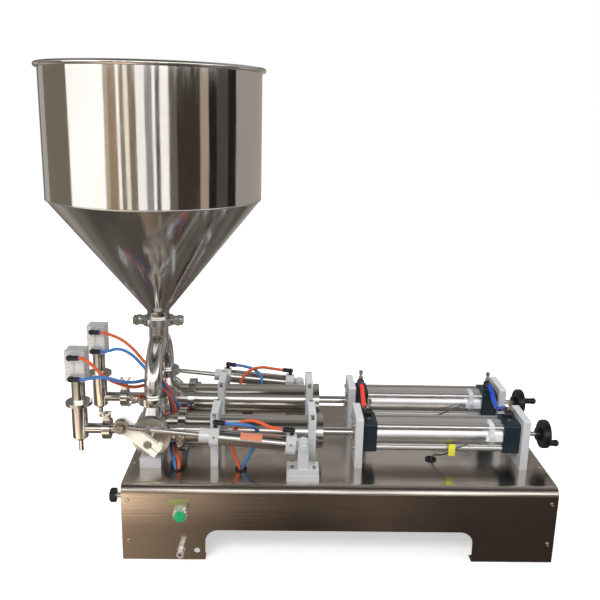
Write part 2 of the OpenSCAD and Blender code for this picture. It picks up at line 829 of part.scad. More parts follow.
// Arch that shares the hopper between the two valves
module manifold() {
    bore = branch_d - 2 * pipe_wall;
    color("silver") translate([valve_x, 0, 0]) difference() {
        union() {
            translate([0, 0, arch_z]) rotate([90, 0, 90])
                rotate_extrude(angle = 180) translate([head_y, 0]) circle(d = branch_d);
            translate([0, 0, arch_z + head_y]) cylinder(h = neck_l - 8, d = neck_d);
            translate([0, 0, neck_z]) mirror([0, 0, 1])
                ferrule(neck_d, bore, hopper_ferrule_d, 12);
            for (s = SIDES) translate([0, s * head_y, branch_z])
                ferrule(branch_d, bore, inlet_ferrule_d, branch_drop);
        }
        translate([0, 0, arch_z]) rotate([90, 0, 90])
            rotate_extrude(angle = 180) translate([head_y, 0]) circle(d = bore);
        translate([0, 0, arch_z + head_y]) cylinder(h = neck_l + 1, d = bore);
    }
}

module gasket(rim_d, bore_d) {
    difference() {
        cylinder(h = gasket_t, d = rim_d - 2);
        translate([0, 0, -1]) cylinder(h = gasket_t + 2, d = bore_d);
    }
}

module clamp_gaskets() {
    color("white") {
        translate([valve_x, 0, neck_z]) gasket(hopper_ferrule_d, neck_d - 2 * pipe_wall);
        for (s = SIDES) at_head(s) {
            translate([valve_x, 0, inlet_reach]) gasket(inlet_ferrule_d, branch_d - 2 * pipe_wall);
            translate([nozzle_flange_x, 0, 0]) rotate([0, 90, 0])
                gasket(outlet_ferrule_d, side_tube_d - 2 * pipe_wall);
            translate([barrel_x - gasket_t, 0, 0]) rotate([0, 90, 0])
                gasket(barrel_ferrule_d, barrel_d - 2 * barrel_wall);
        }
    }
}

module pipe_clamps() {
    color("silver") for (s = SIDES) at_outer(s) {
        translate([valve_x, 0, inlet_reach + gasket_t / 2]) rotate([0, 0, 90])
            pipe_clamp(inlet_ferrule_d);
        translate([nozzle_flange_x + gasket_t / 2, 0, 0]) rotate([90, 0, 90])
            pipe_clamp(outlet_ferrule_d);
        translate([barrel_x - gasket_t / 2, 0, 0]) rotate([0, -90, 0])
            pipe_clamp(barrel_ferrule_d);
    }
}

module deck_grommets() {
    color("dimgray") for (g = GROMMETS) translate([g.x, g.y, base_h]) difference() {
        union() {
            cylinder(h = lip_t, r = lip_r);
            translate([0, 0, -sheet_t]) cylinder(h = sheet_t, r = grommet_r);
            translate([0, 0, -sheet_t - lip_t]) cylinder(h = lip_t, r = lip_r);
        }
        translate([0, 0, -2 * bend_r]) cylinder(h = 4 * bend_r, r = grommet_bore_r);
    }
}

// Barrel supports, split on the filling axis, and the blocks under the valves
module saddle_outline(low, high) {
    difference() {
        translate([-saddle_w / 2, low]) square([saddle_w, high - low]);
        circle(d = barrel_d + 2 * seat_fit);
    }
}

module barrel_saddles() {
    foot_top = -sqrt(pow(valve_d / 2 + seat_fit, 2) - pow(foot_w / 2, 2));
    color("lightgray") difference() {
        for (s = SIDES) at_outer(s) {
            for (x = [saddle_left_x, saddle_right_x])
                extrude_x(x, saddle_t) saddle_outline(-axis_rise, -saddle_split / 2);
            difference() {
                translate([valve_x - foot_w / 2, -foot_depth / 2, -axis_rise])
                    cube([foot_w, foot_depth, axis_rise + foot_top]);
                translate([valve_x, 0, 0])
                    along_y(-foot_depth, 2 * foot_depth, valve_d / 2 + seat_fit);
            }
            translate([valve_x - foot_w / 2, foot_depth / 2, -axis_rise])
                cube([foot_w, foot_out - foot_depth / 2, axis_rise - cover_d / 2 - 1]);
        }
        cap_screw_places() translate([0, 0, cap_sink - saddle_cap_h - 12 - 2])
            cylinder(h = saddle_cap_h, r = cap_screw_r + seat_fit);
    }
}

module barrel_caps() {
    color("lightgray") difference() {
        for (s = SIDES, x = [saddle_left_x, saddle_right_x]) at_head(s)
            extrude_x(x, saddle_t) saddle_outline(saddle_split / 2, saddle_cap_h);
        cap_screw_places() {
            cylinder(h = 2 * cap_sink, r = 1.7 * cap_screw_r + pass_gap);
            translate([0, 0, -saddle_cap_h]) cylinder(h = saddle_cap_h + 1, r = cap_screw_r + seat_fit);
        }
    }
}

// Air cylinders
module plate_outline() {
    translate([-plate_w / 2, 0]) square([plate_w, plate_h - plate_corner]);
    translate([-plate_w / 2 + plate_corner, 0]) square([plate_w - 2 * plate_corner, plate_h]);
    for (s = [-1, 1])
        translate([s * (plate_w / 2 - plate_corner), plate_h - plate_corner]) circle(plate_corner);
}

module cylinder_plates() {
    color("lightgray") for (s = SIDES) at_head(s) difference() {
        for (x = [cyl_x, right_plate_x])
            extrude_x(x, plate_t) translate([0, -axis_rise]) plate_outline();
        along_x(cyl_x - 1, plate_t + 2, nose_d / 2 + seat_fit);
        along_x(right_plate_x - 1, plate_t + 2, spindle_d / 2 + pass_gap);
    }
}

module cylinder_end_caps() {
    color("midnightblue") for (s = SIDES) at_head(s) {
        difference() {
            union() {
                extrude_x(front_cap_x, front_cap_l) rounded_square(cap_side, cap_side, cap_corner);
                along_x(cyl_x, plate_t + 1, nose_d / 2);
            }
            along_x(cyl_x - 1, plate_t + front_cap_l + 2, rod_d / 2 + run_fit);
        }
        difference() {
            extrude_x(rear_cap_x, rear_cap_l) rounded_square(cap_side, cap_side, cap_corner);
            along_x(rear_cap_x - 1, rear_cap_l + 2, spindle_d / 2 + run_fit);
        }
    }
}

module cylinder_tubes() {
    rib_c = cap_side / 2 - rib_r - 3;
    color("gainsboro") for (s = SIDES) at_head(s) extrude_x(tube_x, tube_l) difference() {
        union() {
            circle(tube_r);
            for (y = [-1, 1], z = [-1, 1]) translate([y * rib_c, z * rib_c]) circle(rib_r);
        }
        circle(d = cyl_bore);
    }
}

switch_l = 40;
switch_h = 12;
switch_d = 9;
switch_x = rear_cap_x - switch_l - 4;
switch_z = 4;
module reed_switches() {
    color("white") for (s = SIDES) at_head(s) difference() {
        translate([switch_x, -tube_r - switch_d, switch_z - switch_h / 2])
            cube([switch_l, switch_d + tube_r / 4, switch_h]);
        along_x(switch_x - 1, switch_l + 2, tube_r + seat_fit);
    }
}

// Flow control on each end cap, with its hose arm towards the middle of the machine
control_h = 14;
control_arm_r = 8.5;
control_arm_l = 24;
CONTROLS = [front_cap_x + front_cap_l / 2, rear_cap_x + rear_cap_l / 2];
module flow_controls() {
    color("dimgray") for (s = SIDES, x = CONTROLS)
        at_outer(s) translate([x, 0, cap_side / 2]) {
            cylinder(h = control_h, r = 8, $fn = 6);
            translate([0, 0, control_h]) sphere(10);
            translate([0, 0, control_h]) along_y(-control_arm_l, control_arm_l, control_arm_r);
            translate([0, 0, control_h]) cylinder(h = 16, r = 6, $fn = 6);
            translate([0, 0, control_h + 16]) cylinder(h = 6, r = 3);
            translate([0, 0, control_h + 22]) cylinder(h = 10, r = 5);
        }
}

// Product barrels with their screwed glands
module product_barrels() {
    bore = barrel_d - 2 * barrel_wall;
    color("silver") for (s = SIDES) at_head(s) {
        translate([barrel_x, 0, 0]) rotate([0, 90, 0])
            ferrule(barrel_d, bore, barrel_ferrule_d, barrel_l);
        difference() {
            union() {
                along_x(gland_x, gland_l, gland_d / 2);
                along_x(gland_x - spigot_l, spigot_l + 1, bore / 2 - seat_fit);
            }
            along_x(gland_x - spigot_l - 1, gland_l + spigot_l + 2, rod_d / 2 + run_fit);
        }
    }
}

// Three-way valves
module valve_bodies() {
    body_r = valve_d / 2;
    back_wall = 9;
    cone_top = inlet_reach - 14;
    color("silver") for (s = SIDES) at_outer(s) translate([valve_x, 0, 0]) {
        difference() {
            union() {
                along_y(-valve_half, 2 * valve_half, body_r);
                translate([0, 0, body_r - 18])
                    cylinder(h = cone_top - body_r + 18, r1 = valve_half - 2, d2 = branch_d);
                translate([0, 0, inlet_reach]) mirror([0, 0, 1])
                    ferrule(branch_d, passage_d, inlet_ferrule_d, 16);
                translate([-outlet_reach, 0, 0]) rotate([0, 90, 0])
                    ferrule(side_tube_d, side_tube_d - 2 * pipe_wall, outlet_ferrule_d, 12);
                along_x(-outlet_reach + 10, outlet_reach - 10 - plug_d / 2 - 1, side_tube_d / 2);
                translate([valve_reach, 0, 0]) rotate([0, -90, 0])
                    ferrule(barrel_d, passage_d, barrel_ferrule_d, 16);
                along_x(plug_d / 2 + 1, valve_reach - plug_d / 2 - 12, barrel_d / 2);
            }
            along_y(-valve_half + back_wall, 2 * valve_half, plug_d / 2 + run_fit);
            cylinder(h = inlet_reach + 1, d = passage_d);
            along_x(0, valve_reach + 1, passage_d / 2);
            along_x(-outlet_reach - 1, outlet_reach + 1, side_tube_d / 2 - pipe_wall);
        }
        difference() {
            along_y(valve_half, cover_t, cover_d / 2);
            along_y(valve_half - 1, cover_t + 2, stem_d / 2 + run_fit);
            for (a = [45:90:315]) rotate([0, a, 0])
                translate([cover_d / 2 - 7, 0, 0])
                    along_y(valve_half + 1, cover_t, cover_screw_r + seat_fit);
        }
    }
}

// Turning plug: its T passage joins hopper and barrel at rest, barrel and nozzle at a quarter turn
module valve_plug(side) {
    back = -valve_half + 9 + pass_gap;
    color("gainsboro") at_outer(side) translate([valve_x, 0, 0]) difference() {
        union() {
            along_y(back, valve_half - pass_gap - back, plug_d / 2);
            along_y(0, lever_out, stem_d / 2);
        }
        translate([0, 0, -plug_d]) cylinder(h = 2 * plug_d, d = passage_d);
        along_x(0, plug_d, passage_d / 2);
    }
}

module lever_outline() {
    translate([-lever_tail, -lever_w / 2]) square([lever_tail + lever_r, lever_w]);
    translate([lever_r, 0]) circle(d = lever_w);
}

// Lever clamped on the stem by a split tail and a cross screw
module valve_lever(side) {
    saw = 2.5;
    cross_x = -lever_tail + 8;
    cross_y = lever_out - lever_t / 2;
    color("cornsilk") at_outer(side) translate([valve_x, 0, 0]) rotate([0, -lever_angle, 0]) {
        difference() {
            extrude_y(lever_out - lever_t, lever_t) difference() {
                lever_outline();
                circle(d = stem_d + 2 * seat_fit);
                translate([lever_r, 0]) circle(d = pin_d);
                translate([-lever_tail - 1, -saw / 2]) square([lever_tail + 1, saw]);
            }
            translate([cross_x, cross_y, -lever_w]) cylinder(h = 2 * lever_w, r = 3 + seat_fit);
        }
        translate([cross_x, cross_y, -lever_w / 2 - 6]) {
            cylinder(h = lever_w + 8, r = 3);
            cylinder(h = 6, r = 5.5);
        }
    }
}

// Valve actuators
module act_cap_outline() {
    rotate(22.5) circle(d = act_cap_w / cos(22.5), $fn = 8);
}

module actuator_barrel(side) {
    color("gainsboro") at_actuator(side) difference() {
        along_x(act_tube_s, act_tube_l, act_tube_d / 2);
        along_x(act_tube_s - 1, act_tube_l + 2, act_tube_d / 2 - act_wall);
    }
}

module actuator_caps(side) {
    color("whitesmoke") at_actuator(side) {
        difference() {
            union() {
                extrude_x(act_front_s, act_front_l) act_cap_outline();
                along_x(act_nose_s, act_nose_l, act_nose_d / 2);
            }
            along_x(act_front_s - 1, act_front_l + act_nose_l + 2, act_rod_d / 2 + run_fit);
        }
        difference() {
            union() {
                extrude_x(act_lug, act_rear_l) act_cap_outline();
                translate([0, -lug_t / 2, -ear_w / 2]) cube([act_lug + 1, lug_t, ear_w]);
                along_y(-lug_t / 2, lug_t, ear_w / 2);
            }
            along_y(-lug_t, 2 * lug_t, pin_d / 2 + run_fit);
        }
    }
}

act_ports = [act_lug + act_rear_l / 2, act_front_s + act_front_l / 2];
act_elbow_z = act_cap_w / 2 + elbow_stem_l + elbow_r / 2;
module actuator_elbows(side) {
    color("dimgray") at_actuator(side) {
        translate([act_ports[0], 0, act_elbow_z]) elbow();
        translate([act_ports[1], 0, act_elbow_z]) mirror([1, 0, 0]) elbow();
    }
}

// Where the hoses leave the actuator's elbows, in the head's own frame
function act_point(s, z) = [
    pivot_x - s * cos(act_tilt) + z * sin(act_tilt), act_y,
    pivot_rise + s * sin(act_tilt) + z * cos(act_tilt)
];

module actuator_hoses(side) {
    rear_exit = [for (lead = [0, hose_lead])
        act_point(act_ports[0] + elbow_arm_l + lead, act_elbow_z)];
    front_exit = [for (lead = [0, hose_lead])
        act_point(act_ports[1] - elbow_arm_l - lead, act_elbow_z)];
    color("orangered") at_outer(side) hose(concat(rear_exit, actuator_route_rear), hose_d);
    color("dodgerblue") at_outer(side) hose(concat(front_exit, actuator_route_front), hose_d);
}

module actuator_rod(side) {
    piston_s = act_front_s - act_port_gap - act_piston_l;
    color("lightgray") at_actuator(side) {
        along_x(piston_s, act_piston_l, act_tube_d / 2 - act_wall - run_fit);
        along_x(piston_s, act_reach - rod_end_l - piston_s, act_rod_d / 2);
    }
}

module rod_end(side) {
    shank = eye_d / 2 - 4;
    color("lightgray") at_actuator(side) difference() {
        union() {
            translate([act_reach, 0, 0]) along_y(-eye_t / 2, eye_t, eye_d / 2);
            translate([act_reach - rod_end_l + nut_l, 0, 0]) rotate([0, 90, 0])
                cylinder(h = rod_end_l - nut_l - shank, r = eye_t / 2 - 0.5);
            translate([act_reach - rod_end_l, 0, 0]) rotate([0, 90, 0])
                cylinder(h = nut_l, d = 22, $fn = 6);
        }
        translate([act_reach, 0, 0]) along_y(-eye_t, 2 * eye_t, pin_d / 2 + seat_fit);
    }
    color("gray") at_actuator(side) translate([act_reach, 0, 0]) {
        along_y(-eye_t / 2, eye_t, pin_d / 2);
        translate([0, eye_t / 2, 0]) rotate([-90, 0, 0]) cylinder(h = 6, d = 18, $fn = 6);
    }
}

// Bracket of two stacked plates and a pair of ears, with the pivot's pin
module pivot_brackets() {
    ear_y = lug_t / 2 + pass_gap;
    base_top = 2 * bracket_t - axis_rise;
    color("gainsboro") for (s = SIDES) at_outer(s) translate([pivot_x, act_y, 0]) {
        difference() {
            union() {
                for (i = [0, 1])
                    translate([-bracket_l / 2 - 1 + i, -bracket_w / 2 - 1 + i, i * bracket_t - axis_rise])
                        cube([bracket_l + 2 - 2 * i, bracket_w + 2 - 2 * i, bracket_t]);
                for (y = [-1, 1]) scale([1, y, 1]) {
                    translate([-ear_w / 2, ear_y, base_top])
                        cube([ear_w, ear_t, pivot_rise - base_top]);
                    translate([0, 0, pivot_rise]) along_y(ear_y, ear_t, ear_w / 2);
                }
            }
            translate([0, 0, pivot_rise]) along_y(-bracket_w, 2 * bracket_w, pin_d / 2 + seat_fit);
            for (x = [-1, 1], y = [-1, 1])
                translate([x * (bracket_l / 2 - 11), y * (bracket_w / 2 - 9), base_top - bracket_t - 1])
                    cylinder(h = 2 * bracket_t, r = bracket_screw_r + seat_fit);
        }
        translate([0, 0, pivot_rise]) {
            along_y(-ear_y - ear_t - 3, 2 * (ear_y + ear_t) + 3, pin_d / 2);
            translate([0, ear_y + ear_t, 0]) rotate([-90, 0, 0]) cylinder(h = 6, d = 17, $fn = 6);
        }
    }
}

// Pistons and rods
module drive_rod(side) {
    color("lightgray") at_head(side)
        along_x(product_piston_x, air_piston_x + air_piston_l - product_piston_x, rod_d / 2);
}

module pistons(side) {
    bore_r = barrel_d / 2 - barrel_wall;
    color("tan") at_head(side) difference() {
        union() {
            along_x(product_piston_x, product_piston_l, bore_r - run_fit);
            along_x(air_piston_x, air_piston_l, cyl_bore / 2 - run_fit);
        }
        along_x(product_piston_x - 1, air_piston_x + air_piston_l - product_piston_x + 2,
                rod_d / 2 + run_fit);
    }
}

// Shut-off nozzles
spout_bore_r = needle_d / 2 + run_fit;
nozzle_bore_r = nozzle_d / 2 - 7;
module nozzle_bodies() {
    floor_t = 8;
    color("silver") for (s = SIDES) at_head(s) translate([nozzle_x, 0, 0]) difference() {
        union() {
            translate([0, 0, -nozzle_drop]) cylinder(h = nozzle_drop + flange_rise, d = nozzle_d);
            translate([0, 0, -nozzle_drop - 8])
                cylinder(h = 8, d1 = spout_d + 6, d2 = nozzle_d - 6);
            translate([0, 0, -nozzle_drop - spout_l]) cylinder(h = spout_l, d = spout_d);
            translate([0, 0, flange_rise - flange_t]) cylinder(h = flange_t, d = flange_d);
            along_x(0, nozzle_reach - 6, side_tube_d / 2);
            translate([nozzle_reach, 0, 0]) rotate([0, -90, 0])
                ferrule(side_tube_d, side_tube_d - 2 * pipe_wall, outlet_ferrule_d, 8);
        }
        translate([0, 0, -nozzle_drop + floor_t])
            cylinder(h = nozzle_drop + flange_rise, r = nozzle_bore_r);
        translate([0, 0, -nozzle_drop - spout_l - 1])
            cylinder(h = spout_l + floor_t + 2, r = spout_bore_r);
        along_x(0, nozzle_reach + 1, side_tube_d / 2 - pipe_wall);
    }
}

module nozzle_adapters() {
    color("silver") for (s = SIDES) at_head(s) translate([nozzle_x, 0, post_z]) difference() {
        union() {
            cylinder(h = flange_t, d = flange_d);
            cylinder(h = flange_t + post_l, d = post_d);
        }
        translate([0, 0, 2 * flange_t]) cylinder(h = post_l, r = nozzle_bore_r);
        translate([0, 0, -1]) cylinder(h = 3 * flange_t, r = spout_bore_r);
    }
}

chamber_floor = 8;
module nozzle_cylinders() {
    color("gainsboro") for (s = SIDES) at_head(s) translate([nozzle_x, 0, block_z]) difference() {
        linear_extrude(block_h) rounded_square(block_w, block_w, 3);
        translate([0, 0, chamber_floor])
            cylinder(h = block_h - 2 * chamber_floor, d = needle_piston_d + 2 * run_fit);
        translate([0, 0, -1]) cylinder(h = 2 * chamber_floor, r = spout_bore_r);
        for (a = [0:90:270]) rotate(a) translate([block_w / 2, 0, -1]) cylinder(h = block_h + 2, r = 3);
        for (x = [-1, 1], y = [-1, 1])
            translate([x, y, 0] * (block_w / 2 - 6.5) + [0, 0, block_h - 5]) cylinder(h = 6, r = 3.6);
    }
}

// Elbows on the front face of each shut-off cylinder
module nozzle_elbows() {
    color("dimgray") for (s = SIDES, z = elbow_ports) at_head(s)
        translate([nozzle_x + elbow_x, elbow_y, block_z + z])
            rotate([90, 0, 0]) elbow();
}

module nozzle_needle(side) {
    seat = 10;
    tip_z = -nozzle_drop + 8 - seat;
    piston_z = block_z + chamber_floor + 3;
    color("gainsboro") at_head(side) translate([nozzle_x, 0, 0]) {
        translate([0, 0, tip_z]) cylinder(h = piston_z - tip_z, d = needle_d);
        translate([0, 0, piston_z]) cylinder(h = 12, d = needle_piston_d);
    }
}

// Stroke spindles and handwheels
module spindle(side) {
    color("lightgray") at_head(side)
        along_x(spindle_tip_x, wheel_x + hub_l + wheel_t / 2 - spindle_tip_x, spindle_d / 2);
}

function grip_angle(side) = side < 0 ? -90 : 150;
function grip_y(side) = grip_radius * cos(grip_angle(side));
function grip_z(side) = grip_radius * sin(grip_angle(side));

module handwheel(side) {
    edge = 6;
    color("dimgray") at_head(side) {
        difference() {
            union() {
                along_x(wheel_x, hub_l + 1, hub_d / 2);
                spin_x(wheel_x + hub_l) {
                    square([wheel_d / 2 - edge, wheel_t]);
                    translate([0, edge]) square([wheel_d / 2, wheel_t - 2 * edge]);
                    for (z = [edge, wheel_t - edge]) translate([wheel_d / 2 - edge, z]) circle(edge);
                }
            }
            along_x(wheel_x - 1, hub_l + wheel_t / 2 + 1 + seat_fit, spindle_d / 2 + seat_fit);
        }
        translate([0, grip_y(side), grip_z(side)])
            along_x(wheel_x + hub_l + wheel_t - 1, grip_l - 3, 4);
    }
}

module grip(side) {
    color("dimgray") at_head(side) translate([0, grip_y(side), grip_z(side)]) difference() {
        spin_x(wheel_x + hub_l + wheel_t + pass_gap) {
            square([grip_d / 2 - 1.5, 4]);
            translate([0, 2]) square([grip_d / 2 - 1, grip_l - 6]);
            translate([0, grip_l - grip_d / 2]) intersection() {
                circle(d = grip_d);
                translate([0, -grip_d]) square([grip_d, 2 * grip_d]);
            }
        }
        along_x(wheel_x, hub_l + wheel_t + grip_l - 4 + pass_gap, 4 + run_fit);
    }
}

// Hoses and cables
module air_hoses() {
    color("orangered") {
        at_head(front) hose(nozzle_route_front_top, hose_d);
        at_head(rear) hose(nozzle_route_rear_top, hose_d);
    }
    color("dodgerblue") {
        at_head(front) hose(nozzle_route_front_low, hose_d);
        at_head(rear) hose(nozzle_route_rear_low, hose_d);
    }
    for (i = [0, 1]) {
        reach = head_y - control_arm_l;
        sag = 26;
        color(i == 0 ? "red" : "blue") translate([CONTROLS[i], 0, axis_z + cap_side / 2 + control_h])
            hose([[0, -reach, 0], [0, hose_lead - reach, 0], [0, -0.62 * reach, -0.32 * sag],
                  [0, -0.35 * reach, -0.73 * sag], [0, 0, -sag], [0, 0.35 * reach, -0.73 * sag],
                  [0, 0.62 * reach, -0.32 * sag], [0, reach - hose_lead, 0], [0, reach, 0]], main_hose_d);
    }
}

module sensor_cables() {
    start = [switch_x, -tube_r - switch_d / 2 - 1, switch_z];
    color("slategray") for (s = SIDES) at_head(s)
        hose(concat([start, start - [hose_lead, 0, 0]], cable_route), cable_d);
}

centred() chassis();
centred() left_end_panel();
centred() right_end_panel();
centred() screws();
centred() button_bezel();
centred() air_inlet();
centred() knob_base();
centred() hopper_shell();
centred() hopper_cone();
centred() hopper_clamp();
centred() manifold();
centred() clamp_gaskets();
centred() deck_grommets();
centred() barrel_saddles();
centred() barrel_caps();
centred() cylinder_plates();
centred() product_barrels();
centred() cylinder_end_caps();
centred() cylinder_tubes();
centred() reed_switches();
centred() flow_controls();
centred() valve_bodies();
centred() pipe_clamps();
centred() nozzle_bodies();
centred() nozzle_adapters();
centred() nozzle_cylinders();
centred() nozzle_elbows();
centred() pivot_brackets();
centred() air_hoses();
centred() sensor_cables();
centred() button_cap();
centred() air_knob();
centred() valve_plug(front);  // front_valve_plug
centred() valve_lever(front);  // front_valve_lever
centred() actuator_barrel(front);  // front_actuator_barrel
centred() actuator_caps(front);  // front_actuator_caps
centred() actuator_elbows(front);  // front_actuator_elbows
centred() actuator_hoses(front);  // front_actuator_hoses
centred() actuator_rod(front);  // front_actuator_rod
centred() rod_end(front);  // front_rod_end
centred() drive_rod(front);  // front_drive_rod
centred() pistons(front);  // front_pistons
centred() nozzle_needle(front);  // front_nozzle_needle
centred() spindle(front);  // front_spindle
centred() handwheel(front);  // front_handwheel
centred() grip(front);  // front_grip
centred() valve_plug(rear);  // rear_valve_plug
centred() valve_lever(rear);  // rear_valve_lever
centred() actuator_barrel(rear);  // rear_actuator_barrel
centred() actuator_caps(rear);  // rear_actuator_caps
centred() actuator_elbows(rear);  // rear_actuator_elbows
centred() actuator_hoses(rear);  // rear_actuator_hoses
centred() actuator_rod(rear);  // rear_actuator_rod
centred() rod_end(rear);  // rear_rod_end
centred() drive_rod(rear);  // rear_drive_rod
centred() pistons(rear);  // rear_pistons
centred() nozzle_needle(rear);  // rear_nozzle_needle
centred() spindle(rear);  // rear_spindle
centred() handwheel(rear);  // rear_handwheel
centred() grip(rear);  // rear_grip
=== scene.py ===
"""Looks of the double-head piston filling machine: finishes, hoses, trim, studio and camera.

Lengths are millimetres in the machine's own frame (middle of the base, floor, front at -Y);
at() turns a point into metres in the frame that the CAD model shares.
"""
import math

import bpy
from mathutils import Matrix, Vector
from mathutils.geometry import interpolate_bezier


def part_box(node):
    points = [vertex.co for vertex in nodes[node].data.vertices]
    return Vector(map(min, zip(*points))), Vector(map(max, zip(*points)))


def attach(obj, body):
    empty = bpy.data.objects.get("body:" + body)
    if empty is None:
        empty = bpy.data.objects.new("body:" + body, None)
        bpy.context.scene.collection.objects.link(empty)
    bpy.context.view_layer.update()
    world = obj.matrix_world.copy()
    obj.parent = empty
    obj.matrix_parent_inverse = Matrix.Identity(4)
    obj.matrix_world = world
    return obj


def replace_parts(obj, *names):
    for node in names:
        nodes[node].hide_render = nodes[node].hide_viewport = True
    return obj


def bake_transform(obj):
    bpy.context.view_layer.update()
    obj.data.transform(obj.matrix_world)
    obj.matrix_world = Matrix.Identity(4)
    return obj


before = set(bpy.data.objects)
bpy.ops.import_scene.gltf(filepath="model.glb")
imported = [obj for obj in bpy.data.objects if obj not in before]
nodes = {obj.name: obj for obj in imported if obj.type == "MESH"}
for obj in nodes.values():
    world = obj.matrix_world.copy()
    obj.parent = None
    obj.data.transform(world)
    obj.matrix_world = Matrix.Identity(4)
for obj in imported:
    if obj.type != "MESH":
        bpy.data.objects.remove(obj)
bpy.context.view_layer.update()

# Sizes that the pieces below share with the CAD model
MM = 0.001
MIDDLE = (-80.35, -11.5)
BASE_W, BASE_H = 500, 187
HEAD_Y = 102
AXIS_Z = 259
VALVE_X = -447
NOZZLE_X = -624
SHUTOFF_W, SHUTOFF_H, SHUTOFF_Z = 47, 74, 127
SHUTOFF_ELBOW_X, SHUTOFF_PORTS = -8, {"top": 62, "low": 10}
END_CAP_HALF = 37.5
PORT_X = {"rod": 72.5, "wheel": 415}
PIVOT_X, PIVOT_RISE = -88, 9
LEVER_R, LEVER_ANGLE = 75, 140
ACT_Y, ACT_CAP_HALF = 97.3, 22
ACT_LUG, ACT_REAR_L, ACT_TUBE_L, ACT_FRONT_L = 18, 23, 154, 21
ELBOW_STEM, ELBOW_R, ELBOW_ARM = 8, 7, 20
HEADS = {"front": -1, "rear": 1}
WELD_GAP = 0.00001


def at(x, y, z):
    """A point of the machine's own frame, in metres in the shared frame."""
    return Vector(((x - MIDDLE[0]) * MM, (y - MIDDLE[1]) * MM, z * MM))


def on_head(side, x, y, z):
    """A point about a filling axis, the same way round on both heads."""
    return at(x, side * HEAD_Y + y, AXIS_Z + z)


def on_outer(side, x, y, z):
    """A point about a filling axis, with +Y pointing out of the machine."""
    return at(x, side * (HEAD_Y + y), AXIS_Z + z)


# Modelling by operators


def start_fresh():
    if bpy.context.object and bpy.context.object.mode != "OBJECT":
        bpy.ops.object.mode_set(mode="OBJECT")
    bpy.ops.object.select_all(action="DESELECT")


def pick(piece):
    """Makes a piece the only one that the next operator works on."""
    start_fresh()
    piece.select_set(True)
    bpy.context.view_layer.objects.active = piece


def settle(piece, angle=30):
    """Puts the piece's place into its mesh, turns its faces outwards and smooths its round sides."""
    pick(piece)
    bpy.ops.object.transform_apply(location=True, rotation=True, scale=True)
    bpy.ops.object.mode_set(mode="EDIT")
    bpy.ops.mesh.select_all(action="SELECT")
    bpy.ops.mesh.remove_doubles(threshold=WELD_GAP)
    bpy.ops.mesh.normals_make_consistent(inside=False)
    bpy.ops.object.mode_set(mode="OBJECT")
    bpy.ops.object.shade_smooth_by_angle(angle=math.radians(angle))
    return piece


def dress(piece, material, body):
    """Gives a piece its finish and the body that it moves with."""
    piece.data.materials.clear()
    piece.data.materials.append(material)
    if body:
        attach(piece, body)
    return piece


def apply_modifier(piece, kind, **values):
    pick(piece)
    modifier = piece.modifiers.new(kind.title(), kind)
    for key, value in values.items():
        setattr(modifier, key, value)
    bpy.ops.object.modifier_apply(modifier=modifier.name)


def turned(name, outline, place=(0, 0, 0), sides=32, angle=30):
    """A turned piece: a ring extruded and resized along an outline of (radius, height) pairs."""
    start_fresh()
    radius, height = outline[0]
    bpy.ops.mesh.primitive_circle_add(vertices=sides, radius=radius * MM, location=(0, 0, height * MM))
    piece = bpy.context.object
    bpy.ops.object.mode_set(mode="EDIT")
    bpy.ops.mesh.select_all(action="SELECT")
    for (r0, z0), (r1, z1) in zip(outline, outline[1:]):
        bpy.ops.mesh.extrude_edges_move(TRANSFORM_OT_translate={"value": (0, 0, (z1 - z0) * MM)})
        bpy.ops.transform.resize(value=(r1 / r0, r1 / r0, 1), center_override=(0, 0, z1 * MM))
    bpy.ops.mesh.select_all(action="SELECT")
    bpy.ops.mesh.remove_doubles(threshold=WELD_GAP)
    bpy.ops.mesh.fill_holes(sides=0)
    bpy.ops.object.mode_set(mode="OBJECT")
    piece.name = name
    piece.data.transform(Matrix.Translation((0, 0, height * MM)))
    piece.location = place
    return settle(piece, angle)


def block(name, low, high, edge):
    """A bevelled block between two corners."""
    start_fresh()
    low, high = Vector(low), Vector(high)
    bpy.ops.mesh.primitive_cube_add(size=1, location=(low + high) / 2)
    piece = bpy.context.object
    piece.name = name
    piece.scale = high - low
    bpy.ops.object.transform_apply(location=True, rotation=True, scale=True)
    apply_modifier(piece, "BEVEL", width=edge * MM, segments=3)
    return settle(piece)


def strip(name, path, width, thickness):
    """A thin band: an edge as wide as the band, drawn out along the path and given thickness."""
    start_fresh()
    bpy.ops.mesh.primitive_plane_add(size=width * MM, location=(0, 0, 0))
    piece = bpy.context.object
    piece.name = name
    bpy.ops.object.mode_set(mode="EDIT")
    bpy.ops.mesh.select_mode(type="EDGE")
    bpy.ops.mesh.select_all(action="SELECT")
    bpy.ops.transform.resize(value=(1, 0, 1))
    bpy.ops.mesh.remove_doubles(threshold=WELD_GAP)
    bpy.ops.transform.translate(value=path[0])
    for here, there in zip(path, path[1:]):
        bpy.ops.mesh.extrude_edges_move(TRANSFORM_OT_translate={"value": Vector(there) - Vector(here)})
    bpy.ops.object.mode_set(mode="OBJECT")
    apply_modifier(piece, "SOLIDIFY", thickness=thickness * MM, offset=0)
    apply_modifier(piece, "BEVEL", width=thickness * MM / 4, segments=2)
    return settle(piece)


def facing(point, direction):
    """The move that stands a piece made along +Z on a point, facing a direction."""
    turn = Vector((0, 0, 1)).rotation_difference(Vector(direction)).to_matrix().to_4x4()
    return Matrix.Translation(point) @ turn


def set_out(master, places, material):
    """Copies of a piece made at the origin, each with a mesh of its own; places are (name, move, body)."""
    for name, move, body in places:
        twin = master.copy()
        twin.data = master.data.copy()
        twin.name = name
        bpy.context.scene.collection.objects.link(twin)
        twin.data.transform(move)
        dress(twin, material, body)
    bpy.data.objects.remove(master)


# Materials


def new_material(name):
    material = bpy.data.materials.new(name)
    material.use_nodes = True
    tree = material.node_tree
    return material, tree, tree.nodes["Principled BSDF"]


